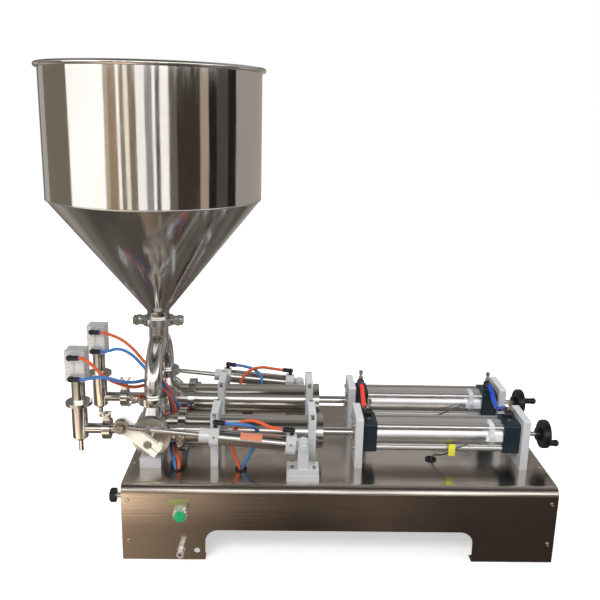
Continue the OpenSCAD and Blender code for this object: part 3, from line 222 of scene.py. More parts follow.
def surface_place(tree, stretch=(1, 1, 1), centre=(0, 0, 0)):
    """Object coordinates about a centre, stretched along the axes."""
    coordinate = tree.nodes.new("ShaderNodeTexCoord")
    mapping = tree.nodes.new("ShaderNodeMapping")
    mapping.inputs["Scale"].default_value = stretch
    mapping.inputs["Location"].default_value = [-c * s for c, s in zip(centre, stretch)]
    tree.links.new(coordinate.outputs["Object"], mapping.inputs["Vector"])
    return mapping.outputs["Vector"]


# Between these two levels is most of what a noise texture gives
NOISE_LOW, NOISE_HIGH = 0.3, 0.7


def noise(tree, vector, scale, detail, roughness=0.55):
    texture = tree.nodes.new("ShaderNodeTexNoise")
    texture.inputs["Scale"].default_value = scale
    texture.inputs["Detail"].default_value = detail
    texture.inputs["Roughness"].default_value = roughness
    tree.links.new(vector, texture.inputs["Vector"])
    return texture.outputs["Fac"]


def to_range(tree, value, low, high, from_low=NOISE_LOW, from_high=NOISE_HIGH):
    """A value carried over from one range to another, and held at its ends."""
    remap = tree.nodes.new("ShaderNodeMapRange")
    remap.inputs["From Min"].default_value = from_low
    remap.inputs["From Max"].default_value = from_high
    remap.inputs["To Min"].default_value = low
    remap.inputs["To Max"].default_value = high
    tree.links.new(value, remap.inputs["Value"])
    return remap.outputs["Result"]


def two_tone(tree, value, dark, light):
    """A noise value as a colour between two tones."""
    node = tree.nodes.new("ShaderNodeValToRGB")
    first, last = node.color_ramp.elements
    first.position, last.position = NOISE_LOW, NOISE_HIGH
    first.color, last.color = (*dark, 1), (*light, 1)
    tree.links.new(value, node.inputs["Fac"])
    return node.outputs["Color"]


def mixed(tree, factor, a, b):
    """A blend of two colours, either of which may be fixed."""
    node = tree.nodes.new("ShaderNodeMix")
    node.data_type = "RGBA"
    tree.links.new(factor, node.inputs["Factor"])
    for socket, value in (("A", a), ("B", b)):
        if isinstance(value, tuple):
            node.inputs[socket].default_value = (*value, 1)
        else:
            tree.links.new(value, node.inputs[socket])
    return node.outputs["Result"]


def bump(tree, value, strength, distance, normal=None):
    node = tree.nodes.new("ShaderNodeBump")
    node.inputs["Strength"].default_value = strength
    node.inputs["Distance"].default_value = distance
    tree.links.new(value, node.inputs["Height"])
    if normal is not None:
        tree.links.new(normal, node.inputs["Normal"])
    return node.outputs["Normal"]


def soft_edge(tree, radius):
    """Normals that round off sharp corners, as broken edges do."""
    node = tree.nodes.new("ShaderNodeBevel")
    node.samples = 4
    node.inputs["Radius"].default_value = radius * MM
    return node.outputs["Normal"]


def math_node(tree, operation, a, b=None):
    """A sum on two values, either of which may be a number."""
    node = tree.nodes.new("ShaderNodeMath")
    node.operation = operation
    for socket, value in zip(node.inputs, (a, b)):
        if isinstance(value, (int, float)):
            socket.default_value = value
        elif value is not None:
            tree.links.new(value, socket)
    return node.outputs[0]


def vector_node(tree, operation, a, b=None):
    node = tree.nodes.new("ShaderNodeVectorMath")
    node.operation = operation
    for socket, value in zip(node.inputs, (a, b)):
        if value is not None:
            tree.links.new(value, socket)
    return node.outputs["Value" if operation == "LENGTH" else "Vector"]


def scaled(tree, vector, factor):
    node = tree.nodes.new("ShaderNodeVectorMath")
    node.operation = "SCALE"
    tree.links.new(vector, node.inputs[0])
    tree.links.new(factor, node.inputs["Scale"])
    return node.outputs["Vector"]


def object_axes(tree):
    axes = tree.nodes.new("ShaderNodeSeparateXYZ")
    tree.links.new(tree.nodes.new("ShaderNodeTexCoord").outputs["Object"], axes.inputs[0])
    return axes.outputs


def face_normal(tree):
    return tree.nodes.new("ShaderNodeNewGeometry").outputs["Normal"]


def leaned(tree, normal, lean):
    """The normal with a small lean added, as fine tool marks give it."""
    return vector_node(tree, "NORMALIZE", vector_node(tree, "ADD", normal, lean))


def even_lean(tree, pattern, slope):
    """A noise pattern as a lean to both sides of the true surface."""
    return math_node(tree, "MULTIPLY", math_node(tree, "SUBTRACT", pattern, 0.5), slope)


def combined(tree, **leans):
    node = tree.nodes.new("ShaderNodeCombineXYZ")
    for axis, lean in leans.items():
        tree.links.new(lean, node.inputs[axis])
    return node.outputs[0]


def brush_marks(tree, slope):
    """Lean across brush marks that run along X: too fine to see, they smear what the sheet mirrors."""
    marks = noise(tree, surface_place(tree, (0.5, 300, 300)), scale=9.0, detail=2.0)
    lean = even_lean(tree, marks, slope)
    return combined(tree, Y=lean, Z=lean)


def lathe_marks(tree, slope):
    """Lean across the rings that a lathe leaves on faces square to the valve's axis."""
    pitch, nearly_square = 0.45 * MM, 0.9
    place = surface_place(tree, (1, 0, 1), at(VALVE_X, 0, AXIS_Z))
    radius = vector_node(tree, "LENGTH", place)
    wave = math_node(tree, "SINE", math_node(tree, "MULTIPLY", radius, 2 * math.pi / pitch))
    axes = tree.nodes.new("ShaderNodeSeparateXYZ")
    tree.links.new(face_normal(tree), axes.inputs[0])
    square = math_node(tree, "GREATER_THAN", math_node(tree, "ABSOLUTE", axes.outputs["Y"]), nearly_square)
    amount = math_node(tree, "MULTIPLY", math_node(tree, "MULTIPLY", wave, slope), square)
    return scaled(tree, vector_node(tree, "NORMALIZE", place), amount)


def sheet_waves(tree, slope):
    """Lean of polished sheet that isn't quite true: long waves up the wall, shorter ones round it."""
    waves = noise(tree, surface_place(tree, (1, 1, 0.12)), scale=16.0, detail=2.0)
    drift = noise(tree, surface_place(tree, (1, 1, 0.5)), scale=5.0, detail=1.0)
    side, ahead = even_lean(tree, waves, slope), even_lean(tree, drift, slope)
    return combined(tree, X=side, Y=ahead, Z=ahead)


def metal(name, dark, light, rough, grain_scale=60.0, grain=(1, 1, 1), depth=0.00002, wear=0.06, edge=0.7,
          bare=1.0, marks=None):
    """Metal whose tone varies in patches and whose roughness and skin follow a fine grain, stretched along
    the axes; bare is 1 for polished metal and less for a blasted or anodised skin."""
    material, tree, shader = new_material(name)
    patches = noise(tree, surface_place(tree), scale=9.0, detail=5.0)
    lines = noise(tree, surface_place(tree, grain), grain_scale, detail=3.0, roughness=0.6)
    tree.links.new(two_tone(tree, patches, dark, light), shader.inputs["Base Color"])
    tree.links.new(to_range(tree, lines, rough - wear / 2, rough + wear), shader.inputs["Roughness"])
    normal = soft_edge(tree, edge) if edge else None
    if marks:
        normal = leaned(tree, face_normal(tree) if normal is None else normal, marks(tree))
    skin = bump(tree, lines, strength=0.25, distance=depth, normal=normal)
    tree.links.new(skin, shader.inputs["Normal"])
    shader.inputs["Metallic"].default_value = bare
    return material


def plastic(name, dark, light, rough, grain_scale=900.0, depth=0.00003, clear=0.0, edge=0.6):
    """Moulded plastic or rubber with a fine skin and slightly uneven colour."""
    material, tree, shader = new_material(name)
    cloud = noise(tree, surface_place(tree), scale=25.0, detail=3.0)
    grain = noise(tree, surface_place(tree), grain_scale, detail=2.0)
    tree.links.new(two_tone(tree, cloud, dark, light), shader.inputs["Base Color"])
    tree.links.new(to_range(tree, cloud, rough - 0.04, rough + 0.06), shader.inputs["Roughness"])
    rounded = soft_edge(tree, edge) if edge else None
    skin = bump(tree, grain, strength=0.15, distance=depth, normal=rounded)
    tree.links.new(skin, shader.inputs["Normal"])
    shader.inputs["Transmission Weight"].default_value = clear
    return material


def flow_control_finish():
    """Black plastic body between a nickel thread below and a nickel setting screw above."""
    material, tree, shader = new_material("flow_control")
    thread_top, screw_foot = ((AXIS_Z + rise) * MM for rise in (41, 62.5))
    height = object_axes(tree)["Z"]
    is_metal = math_node(tree, "MAXIMUM", math_node(tree, "GREATER_THAN", height, screw_foot),
                         math_node(tree, "LESS_THAN", height, thread_top))
    knurl = noise(tree, surface_place(tree, (900, 900, 60)), scale=1.0, detail=2.0)
    black = two_tone(tree, knurl, (0.008, 0.008, 0.01), (0.02, 0.02, 0.024))
    plated = two_tone(tree, knurl, (0.50, 0.46, 0.38), (0.72, 0.68, 0.60))
    tree.links.new(mixed(tree, is_metal, black, plated), shader.inputs["Base Color"])
    tree.links.new(is_metal, shader.inputs["Metallic"])
    tree.links.new(to_range(tree, knurl, 0.16, 0.32), shader.inputs["Roughness"])
    skin = bump(tree, knurl, strength=0.3, distance=0.0001, normal=soft_edge(tree, 0.6))
    tree.links.new(skin, shader.inputs["Normal"])
    return material


def hopper_sheet(name, dark, light, rough):
    """Polished sheet, drawn upright and a little out of true."""
    return metal(name, dark, light, rough, 30.0, (3, 3, 0.4), depth=0.00004, wear=0.04, edge=0,
                 marks=lambda tree: sheet_waves(tree, slope=0.035))


def hose_plastic(name, dark, light, rough, clear):
    """Smooth tube that lets a little light through."""
    return plastic(name, dark, light, rough, grain_scale=500.0, depth=0.00001, clear=clear)


mirror_steel = metal("mirror_steel", (0.64, 0.63, 0.61), (0.72, 0.71, 0.69), 0.09, 40.0)
hopper_steel = hopper_sheet("hopper_steel", (0.70, 0.68, 0.655), (0.76, 0.74, 0.715), 0.07)
cone_steel = hopper_sheet("cone_steel", (0.50, 0.48, 0.46), (0.56, 0.54, 0.52), 0.10)
pipe_steel = metal("pipe_steel", (0.66, 0.65, 0.63), (0.74, 0.73, 0.71), 0.13, 80.0, (2, 2, 2))
valve_steel = metal("valve_steel", (0.64, 0.63, 0.61), (0.72, 0.71, 0.69), 0.11, 40.0,
                    marks=lambda tree: lathe_marks(tree, slope=0.16))
brushed_base = metal("brushed_base", (0.60, 0.545, 0.49), (0.64, 0.585, 0.53), 0.16, 40.0, (0.8, 60, 60),
                     depth=0.00001, wear=0.03, marks=lambda tree: brush_marks(tree, slope=0.45))
barrel_steel = metal("barrel_steel", (0.66, 0.64, 0.61), (0.72, 0.70, 0.67), 0.15, 20.0, (60, 1, 1),
                     depth=0.00001, wear=0.04)
tube_aluminium = metal("tube_aluminium", (0.86, 0.86, 0.87), (0.91, 0.91, 0.92), 0.33, 20.0, (0.4, 60, 60),
                       depth=0.00001, wear=0.04)
block_aluminium = metal("block_aluminium", (0.84, 0.85, 0.86), (0.90, 0.91, 0.92), 0.28, 60.0, (1, 1, 8),
                        bare=0.55)
cast_aluminium = metal("cast_aluminium", (0.68, 0.69, 0.70), (0.76, 0.77, 0.78), 0.34, 300.0, bare=0.4)
plate_aluminium = metal("plate_aluminium", (0.66, 0.67, 0.69), (0.72, 0.73, 0.75), 0.40, 300.0, bare=0.25)
cap_navy = metal("cap_navy", (0.011, 0.024, 0.034), (0.016, 0.031, 0.043), 0.34, 500.0, bare=0.2)
ground_rod = metal("ground_rod", (0.76, 0.76, 0.755), (0.82, 0.82, 0.815), 0.10, 20.0, (80, 1, 1),
                   depth=0.00001, wear=0.04)
zinc = metal("zinc", (0.58, 0.58, 0.57), (0.70, 0.70, 0.68), 0.24, 200.0)
nickel = metal("nickel", (0.66, 0.64, 0.58), (0.74, 0.72, 0.66), 0.16, 120.0)
fitting_nickel = metal("fitting_nickel", (0.80, 0.79, 0.76), (0.88, 0.87, 0.84), 0.18, 120.0, bare=0.75)
chrome = metal("chrome", (0.74, 0.73, 0.71), (0.80, 0.79, 0.77), 0.08)
rod_end_steel = metal("rod_end_steel", (0.40, 0.39, 0.38), (0.48, 0.47, 0.455), 0.26, 200.0)
race_bronze = metal("race_bronze", (0.30, 0.24, 0.15), (0.38, 0.31, 0.20), 0.30, 200.0)
black_gloss = plastic("black_gloss", (0.006, 0.006, 0.008), (0.014, 0.014, 0.017), 0.22)
wheel_black = plastic("wheel_black", (0.004, 0.004, 0.005), (0.009, 0.009, 0.010), 0.34)
black_rubber = plastic("black_rubber", (0.008, 0.008, 0.008), (0.018, 0.018, 0.018), 0.6, 400.0)
white_gasket = plastic("white_gasket", (0.70, 0.70, 0.67), (0.80, 0.80, 0.77), 0.5)
lever_cream = plastic("lever_cream", (0.90, 0.85, 0.70), (0.95, 0.91, 0.79), 0.30, 200.0)
button_green = plastic("button_green", (0.0, 0.26, 0.07), (0.01, 0.38, 0.12), 0.22)
switch_white = plastic("switch_white", (0.66, 0.68, 0.70), (0.78, 0.80, 0.82), 0.3)
strap_clear = plastic("strap_clear", (0.80, 0.82, 0.84), (0.90, 0.92, 0.94), 0.16, 300.0,
                      depth=0.00001, clear=0.55, edge=0)
cable_grey = plastic("cable_grey", (0.07, 0.075, 0.085), (0.11, 0.115, 0.125), 0.45)
hose_orange = hose_plastic("hose_orange", (0.70, 0.10, 0.025), (0.82, 0.16, 0.045), 0.20, 0.18)
hose_blue = hose_plastic("hose_blue", (0.045, 0.18, 0.46), (0.075, 0.25, 0.60), 0.20, 0.18)
hose_red = hose_plastic("hose_red", (0.80, 0.035, 0.015), (0.92, 0.06, 0.03), 0.22, 0.1)
hose_navy = hose_plastic("hose_navy", (0.008, 0.055, 0.46), (0.015, 0.085, 0.58), 0.22, 0.1)
collar_violet = plastic("collar_violet", (0.05, 0.03, 0.22), (0.08, 0.05, 0.32), 0.28)
piston_tan = plastic("piston_tan", (0.55, 0.48, 0.34), (0.66, 0.60, 0.46), 0.5)
tag_yellow = plastic("tag_yellow", (0.80, 0.78, 0.03), (0.92, 0.90, 0.08), 0.4)
label_green = plastic("label_green", (0.21, 0.23, 0.065), (0.27, 0.29, 0.09), 0.35)
sticker_orange = plastic("sticker_orange", (0.54, 0.17, 0.09), (0.62, 0.22, 0.12), 0.35)
flow_control = flow_control_finish()

FINISHES = {
    "chassis": brushed_base, "left_end_panel": brushed_base, "right_end_panel": brushed_base,
    "screws": zinc, "button_bezel": fitting_nickel, "air_inlet": fitting_nickel, "knob_base": nickel,
    "hopper_clamp": mirror_steel, "manifold": pipe_steel, "clamp_gaskets": white_gasket,
    "deck_grommets": black_rubber, "barrel_saddles": plate_aluminium, "barrel_caps": plate_aluminium,
    "cylinder_plates": plate_aluminium, "product_barrels": barrel_steel,
    "cylinder_end_caps": cap_navy, "cylinder_tubes": tube_aluminium, "reed_switches": switch_white,
    "flow_controls": flow_control, "valve_bodies": valve_steel, "pipe_clamps": mirror_steel,
    "nozzle_bodies": mirror_steel, "nozzle_adapters": mirror_steel,
    "nozzle_cylinders": block_aluminium, "nozzle_elbows": black_gloss,
    "pivot_brackets": cast_aluminium, "button_cap": button_green, "air_knob": black_gloss,
}
HEAD_FINISHES = {
    "valve_plug": mirror_steel, "valve_lever": lever_cream, "actuator_barrel": barrel_steel,
    "actuator_caps": cast_aluminium, "actuator_elbows": black_gloss, "actuator_rod": ground_rod,
    "rod_end": rod_end_steel, "drive_rod": ground_rod, "pistons": piston_tan, "nozzle_needle": ground_rod,
    "spindle": ground_rod, "handwheel": wheel_black, "grip": wheel_black,
}
for head in HEADS:
    for part, finish in HEAD_FINISHES.items():
        FINISHES[f"{head}_{part}"] = finish
for name, finish in FINISHES.items():
    nodes[name].data.materials.clear()
    nodes[name].data.materials.append(finish)


# Camera at the photograph's view, as fitted to the base, hopper and cylinders
FOCAL_PIXELS, FRAME_PIXELS, SENSOR = 742.6, 600, 36
CAMERA_PLACE = (-147.1, -1773.0, 1016.5)
CAMERA_TURNS = (("Z", -1.57), ("X", 90 - 14.40), ("Z", 1.41))
camera_data = bpy.data.cameras.new("camera")
camera_data.sensor_width = SENSOR
camera_data.lens = FOCAL_PIXELS / FRAME_PIXELS * SENSOR
camera = bpy.data.objects.new("camera", camera_data)
bpy.context.scene.collection.objects.link(camera)
camera_move = Matrix.Translation(at(*CAMERA_PLACE))
for axis, degrees in CAMERA_TURNS:
    camera_move = camera_move @ Matrix.Rotation(math.radians(degrees), 4, axis)
camera.matrix_world = camera_move
bpy.context.scene.camera = camera


# Hoses and cables
CURVE_STEPS = 10


def route_curve(name, points, diameter):
    """A smooth open curve through the route's points, in metres."""
    data = bpy.data.curves.new(name, "CURVE")
    data.dimensions = "3D"
    data.resolution_u = CURVE_STEPS
    data.bevel_depth = diameter * MM / 2
    data.bevel_resolution = 5
    data.use_fill_caps = True
    spline = data.splines.new("BEZIER")
    spline.bezier_points.add(len(points) - 1)
    for knot, point in zip(spline.bezier_points, points):
        knot.co = point
        knot.handle_left_type = knot.handle_right_type = "AUTO"
    curve = bpy.data.objects.new(name, data)
    bpy.context.scene.collection.objects.link(curve)
    return curve


def centre_line(curve):
    knots = curve.data.splines[0].bezier_points
    line = []
    for a, b in zip(knots, list(knots)[1:]):
        line += interpolate_bezier(a.co, a.handle_right, b.handle_left, b.co, CURVE_STEPS)[:-1]
    return line + [knots[-1].co.copy()]


def fixed_hose(name, points, diameter, material, node):
    """A hose between two places on the machine's body."""
    curve = route_curve(name, points, diameter)
    bpy.context.view_layer.update()
    curve.data.materials.append(material)
    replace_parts(curve, node)
    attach(curve, "machine")


HOSE_D, MAIN_HOSE_D, CABLE_D = 8, 12, 4
# Half the distance between paired hoses, and the straight length from a fitting
PAIR, LEAD = 4.4, 8
# Where hoses and cables go through the deck, and how far below the axis their ends are
FRONT_DROP, REAR_DROP, ACT_DROP, CABLE_DROP = (-384, -66.5), (-385, -HEAD_Y), (-233, 64), (231, 0)
UNDER_DECK = -92
NOZZLE_ARM_X = NOZZLE_X + SHUTOFF_ELBOW_X + ELBOW_ARM
NOZZLE_ARM_Y = -SHUTOFF_W / 2 - ELBOW_STEM - ELBOW_R / 2
NOZZLE_ARM_Z = {port: SHUTOFF_Z + rise for port, rise in SHUTOFF_PORTS.items()}
NOZZLE_ROUTES = {
    ("front", "top"): [
        (-590, -35, 182), (-572, -34, 164), (-548, -27, 138), (-520, -10, 117), (-495, 10, 103),
        (-468, 36, 98), (-438, 47, 88), (-416, 51, 64), (-407, 55, 32), (-405, 57, 0), (-403.5, 53, -27),
        (-401, 34, -43), (-397.5, 8, -47), (-394, -18, -47.5), (-388, -40, -48.5),
        (FRONT_DROP[0] + PAIR - 2, -54, -55), (FRONT_DROP[0] + PAIR, -63, -66),
        (FRONT_DROP[0] + PAIR, FRONT_DROP[1], -78), (FRONT_DROP[0] + PAIR, FRONT_DROP[1], UNDER_DECK)],
    ("front", "low"): [
        (-590, -37, 140), (-564, -40, 145), (-540, -39, 142), (-515, -26, 130), (-490, 4, 118),
        (-466, 34, 113), (-440, 56, 104), (-426, 66, 78), (-417, 69, 46), (-415, 67, 10), (-413.5, 58, -22),
        (-411, 36, -42.5), (-407.5, 8, -47), (-404, -18, -47.5), (-398, -40, -48.5),
        (FRONT_DROP[0] - PAIR - 3, -54, -55), (FRONT_DROP[0] - PAIR, -63, -66),
        (FRONT_DROP[0] - PAIR, FRONT_DROP[1], -78), (FRONT_DROP[0] - PAIR, FRONT_DROP[1], UNDER_DECK)],
    ("rear", "top"): [
        (-588, -35, 185), (-552, -40, 171), (-521, -52, 150), (-490, -70, 122), (-456, -86, 94),
        (-426, -97, 64), (-408, -99, 24),
        (REAR_DROP[0] - PAIR, REAR_DROP[1], -40), (REAR_DROP[0] - PAIR, REAR_DROP[1], UNDER_DECK)],
    ("rear", "low"): [
        (-592, -35, 139), (-563, -41, 147), (-529, -55, 139), (-496, -74, 116), (-462, -93, 86),
        (-424, -108, 54), (-394, -112, 12),
        (REAR_DROP[0] + PAIR, REAR_DROP[1], -40), (REAR_DROP[0] + PAIR, REAR_DROP[1], UNDER_DECK)],
}
for (head, port), route in NOZZLE_ROUTES.items():
    straight = [(NOZZLE_ARM_X + lead, NOZZLE_ARM_Y, NOZZLE_ARM_Z[port]) for lead in (0, LEAD)]
    points = [on_head(HEADS[head], *p) for p in [*straight, *route]]
    fixed_hose(f"{head}_nozzle_hose_{port}", points, HOSE_D,
               hose_orange if port == "top" else hose_blue, "air_hoses")

# Main hoses sag between the flow controls of the two cylinders
FLOW_RISE, FLOW_ARM = 14, 24
MAIN_HOSE_Z = AXIS_Z + END_CAP_HALF + FLOW_RISE
MAIN_REACH, MAIN_SAG = HEAD_Y - FLOW_ARM, 26
main_half = [(-MAIN_REACH, 0), (LEAD - MAIN_REACH, 0), (-0.62 * MAIN_REACH, -0.32 * MAIN_SAG),
             (-0.35 * MAIN_REACH, -0.73 * MAIN_SAG)]
main_line = [*main_half, (0, -MAIN_SAG), *((-y, z) for y, z in reversed(main_half))]
for end, material in (("rod", hose_red), ("wheel", hose_navy)):
    points = [at(PORT_X[end], y, MAIN_HOSE_Z + z) for y, z in main_line]
    fixed_hose(f"cylinder_hose_{end}_end", points, MAIN_HOSE_D, material, "air_hoses")

SENSOR_END_X = 351
CABLE_ROUTE = [
    (SENSOR_END_X, -41, 4), (SENSOR_END_X - LEAD, -41, 4), (332, -43, 3), (306, -46, -8), (285, -45, -19),
    (268, -41, -31), (250, -26, -47), (CABLE_DROP[0] + 6, CABLE_DROP[1] - 6, -58), (*CABLE_DROP, -72),
    (*CABLE_DROP, UNDER_DECK)]
TAG_LOW, TAG_HIGH, TAG_EDGE = (262, -46, -40), (278, -44, -10), 0.5
for head, side in HEADS.items():
    points = [on_head(side, *p) for p in CABLE_ROUTE]
    tags = []
    if head == "front":
        tag = block("cable_tag", on_head(side, *TAG_LOW), on_head(side, *TAG_HIGH), TAG_EDGE)
        tags = [dress(tag, tag_yellow, "machine")]
    fixed_hose(f"{head}_sensor_cable", points, CABLE_D, cable_grey, "sensor_cables")

# Each actuator hose is a mesh tube along its route
ACT_PORTS = {"rear": ACT_LUG + ACT_REAR_L / 2,
             "front": ACT_LUG + ACT_REAR_L + ACT_TUBE_L + ACT_FRONT_L / 2}
ELBOW_Z = ACT_CAP_HALF + ELBOW_STEM + ELBOW_R / 2
lever_turn = math.radians(LEVER_ANGLE)
PIN = (VALVE_X + LEVER_R * math.cos(lever_turn), LEVER_R * math.sin(lever_turn))
TILT = math.atan2(PIN[1] - PIVOT_RISE, PIVOT_X - PIN[0])
ACT_AXIS = Vector((-math.cos(TILT), 0, math.sin(TILT)))


def on_actuator(s, z):
    """A point s along the actuator from its pivot and z above its axis, about the filling axis."""
    return (PIVOT_X - s * math.cos(TILT) + z * math.sin(TILT), ACT_Y,
            PIVOT_RISE + s * math.sin(TILT) + z * math.cos(TILT))


ACT_ROUTES = {
    "front": [*(on_actuator(ACT_PORTS["front"] - ELBOW_ARM - lead, ELBOW_Z) for lead in (0, LEAD)),
              (-238, 94, 56), (-212, 86, 49), (-196, 72, 33), (-197, 64, 4), (-212, 62, -34),
              (ACT_DROP[0] + PAIR, ACT_DROP[1], -66), (ACT_DROP[0] + PAIR, ACT_DROP[1], UNDER_DECK)],
    "rear": [*(on_actuator(ACT_PORTS["rear"] + ELBOW_ARM + lead, ELBOW_Z) for lead in (0, LEAD)),
             (-164, 96, 51), (-198, 82, 59), (-228, 72, 53), (-248, 64, 32), (-255, 61, 0),
             (-248, 62, -38), (ACT_DROP[0] - PAIR, ACT_DROP[1], -66),
             (ACT_DROP[0] - PAIR, ACT_DROP[1], UNDER_DECK)],
}
for head, side in HEADS.items():
    for port, route in ACT_ROUTES.items():
        points = [on_outer(side, *p) for p in route]
        tube = route_curve(f"{head}_actuator_hose_{port}", points, HOSE_D)
        bpy.context.view_layer.update()
        line = centre_line(tube)
        pick(tube)
        bpy.ops.object.convert(target="MESH")
        tube = bpy.context.object
        settle(tube, angle=60)
        dress(tube, hose_blue if port == "front" else hose_orange, None)
        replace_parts(tube, f"{head}_actuator_hoses")
        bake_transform(tube)


# Hopper: turned wall with a rolled rim, spun cone and the weld between them
HOPPER_R, HOPPER_IN, HOPPER_SIDES = 250, 248, 256
SHELL_Z, OUTLET_Z = 807, 505
BEAD_R, BEAD_C, BEAD_Z = 5.5, 253.5, 291.5
BEAD_START, BEAD_SWEEP, BEAD_STEPS = -129.5, 309.5, 24
bead_turns = [math.radians(BEAD_START + BEAD_SWEEP * k / BEAD_STEPS) for k in range(BEAD_STEPS + 1)]
bead = [(BEAD_C + BEAD_R * math.cos(a), BEAD_Z + BEAD_R * math.sin(a)) for a in bead_turns]
wall = turned("hopper_wall", [
    (HOPPER_R, 0), (HOPPER_R, 100), (HOPPER_R, 200), *bead,
    (HOPPER_IN, 200), (HOPPER_IN, 100), (HOPPER_IN, 0), (HOPPER_R, 0)],
    at(VALVE_X, 0, SHELL_Z), HOPPER_SIDES, angle=25)
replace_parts(dress(wall, hopper_steel, "machine"), "hopper_shell")
cone = turned("hopper_funnel", [
    (25, 0), (32, 0), (32, 2.8), (27.6, 4.2), (27, 5.2), (27, 21), (27.6, 25), (29.5, 28), (100, 115.2),
    (180, 214.9), (HOPPER_R, 302), (HOPPER_IN, 302), (180, 217.3), (100, 117.6), (25, 24), (25, 0)],
    at(VALVE_X, 0, OUTLET_Z), HOPPER_SIDES, angle=25)
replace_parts(dress(cone, cone_steel, "machine"), "hopper_cone")
weld = turned("hopper_weld", [
    (249.4, -2.2), (250.3, -1.6), (250.7, 0), (250.3, 1.6), (249.4, 2.2), (249.4, -2.2)],
    at(VALVE_X, 0, SHELL_Z), HOPPER_SIDES, angle=60)
dress(weld, pipe_steel, "machine")


# Release collars where hoses enter the push-in fittings
small_collar = turned("collar", [(4.3, 0), (5.5, 0), (5.5, 2.0), (5.0, 3.0), (4.3, 3.0), (4.3, 0)])
places = []
for head, side in HEADS.items():
    for port, z in NOZZLE_ARM_Z.items():
        places.append((f"{head}_nozzle_collar_{port}",
                       facing(on_head(side, NOZZLE_ARM_X, NOZZLE_ARM_Y, z), (1, 0, 0)), "machine"))
    for port, way in (("front", -1), ("rear", 1)):
        end = on_outer(side, *on_actuator(ACT_PORTS[port] + way * ELBOW_ARM, ELBOW_Z))
        places.append((f"{head}_actuator_collar_{port}", facing(end, way * ACT_AXIS), f"{head}_actuator"))
set_out(small_collar, places, collar_violet)
large_collar = turned("large_collar", [
    (6.3, 0), (7.8, 0), (7.8, 2.6), (7.2, 3.8), (6.3, 3.8), (6.3, 0)], sides=40)
set_out(large_collar, [
    (f"{head}_cylinder_collar_{end}_end",
     facing(at(x, side * MAIN_REACH, MAIN_HOSE_Z), (0, -side, 0)), "machine")
    for head, side in HEADS.items() for end, x in PORT_X.items()], collar_violet)

# Socket screws: four through each cylinder plate and four in the top of each shut-off cylinder
PLATE_FACES = (("left", 37, -1), ("right", 453, 1))
PLATE_BOLT, SHUTOFF_BOLT, SHUTOFF_SINK = 28.5, 17, 5
CORNERS = [(a, b) for a in (-1, 1) for b in (-1, 1)]
cap_screw = turned("cap_screw", [(2.6, 2.4), (2.6, 5.2), (4.6, 5.2), (5.2, 4.6), (5.2, 0)])
set_out(cap_screw, [
    (f"{head}_plate_screw_{end}_{k}",
     facing(on_head(side, x, PLATE_BOLT * y, PLATE_BOLT * z), (way, 0, 0)), "machine")
    for head, side in HEADS.items() for end, x, way in PLATE_FACES
    for k, (y, z) in enumerate(CORNERS)], zinc)
top_screw = turned("top_screw", [(1.7, 1.6), (1.7, 3.6), (3.0, 3.6), (3.3, 3.3), (3.3, 0)], sides=24)
top_z = SHUTOFF_Z + SHUTOFF_H - SHUTOFF_SINK
set_out(top_screw, [
    (f"{head}_shutoff_screw_{k}",
     facing(on_head(side, NOZZLE_X + SHUTOFF_BOLT * x, SHUTOFF_BOLT * y, top_z), (0, 0, 1)), "machine")
    for head, side in HEADS.items() for k, (x, y) in enumerate(CORNERS)], zinc)


def beside_actuator(side, s, z, out):
    """The move to a place on the outer side of an actuator, facing out of the machine."""
    x, y, rise = on_actuator(s, z)
    return facing(on_outer(side, x, y + out, rise), (0, side, 0))


# Cushion screws on the actuators' caps
CUSHION_Z = 6
cushion_screw = turned("cushion_screw", [(0.7, 0.5), (0.9, 1.0), (2.3, 1.0), (2.6, 0.6), (2.6, 0)], sides=24)
set_out(cushion_screw, [
    (f"{head}_cushion_screw_{port}", beside_actuator(side, s, CUSHION_Z, ACT_CAP_HALF), f"{head}_actuator")
    for head, side in HEADS.items() for port, s in ACT_PORTS.items()], zinc)

# Socket screw and bearing race in each rod end
ROD_END_S, EYE_HALF, SCREW_SEAT = math.hypot(PIN[0] - PIVOT_X, PIN[1] - PIVOT_RISE), 7, 13
ROD_END_TRIM = [
    ("screw", [(3.6, 1.2), (3.6, 4.0), (7.4, 4.0), (8.4, 3.0), (8.4, 0)], SCREW_SEAT, rod_end_steel),
    ("race", [(9.4, 0), (12.4, 0), (12.4, 0.5), (9.4, 1.2), (9.4, 0)], EYE_HALF, race_bronze)]
for trim, outline, out, finish in ROD_END_TRIM:
    set_out(turned(trim, outline), [
        (f"{head}_rod_end_{trim}", beside_actuator(side, ROD_END_S, 0, out), f"{head}_actuator_piston")
        for head, side in HEADS.items()], finish)

# Slotted screw in the end of each valve's stem
stem_screw = turned("stem_screw", [(2.6, 0.5), (2.6, 2.2), (6.2, 2.2), (7.0, 1.4), (7.0, 0)])
stem_axis = at(VALVE_X, 0, AXIS_Z)
stem_end = {head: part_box(f"{head}_valve_plug")[0 if side < 0 else 1][1] for head, side in HEADS.items()}
set_out(stem_screw, [
    (f"{head}_stem_screw", facing((stem_axis.x, stem_end[head], stem_axis.z), (0, side, 0)), f"{head}_valve")
    for head, side in HEADS.items()], rod_end_steel)

# Rivets that hold the end panels to the deck
RIVETS = ((-490, -138), (-490, 138), (491, -138), (491, 138))
rivet = turned("rivet", [(3.4, 0), (3.2, 0.7), (2.5, 1.4), (1.4, 1.8), (0.4, 1.95)], sides=24, angle=60)
set_out(rivet, [(f"deck_rivet_{k}", facing(at(x, y, BASE_H), (0, 0, 1)), "machine")
                for k, (x, y) in enumerate(RIVETS)], chrome)

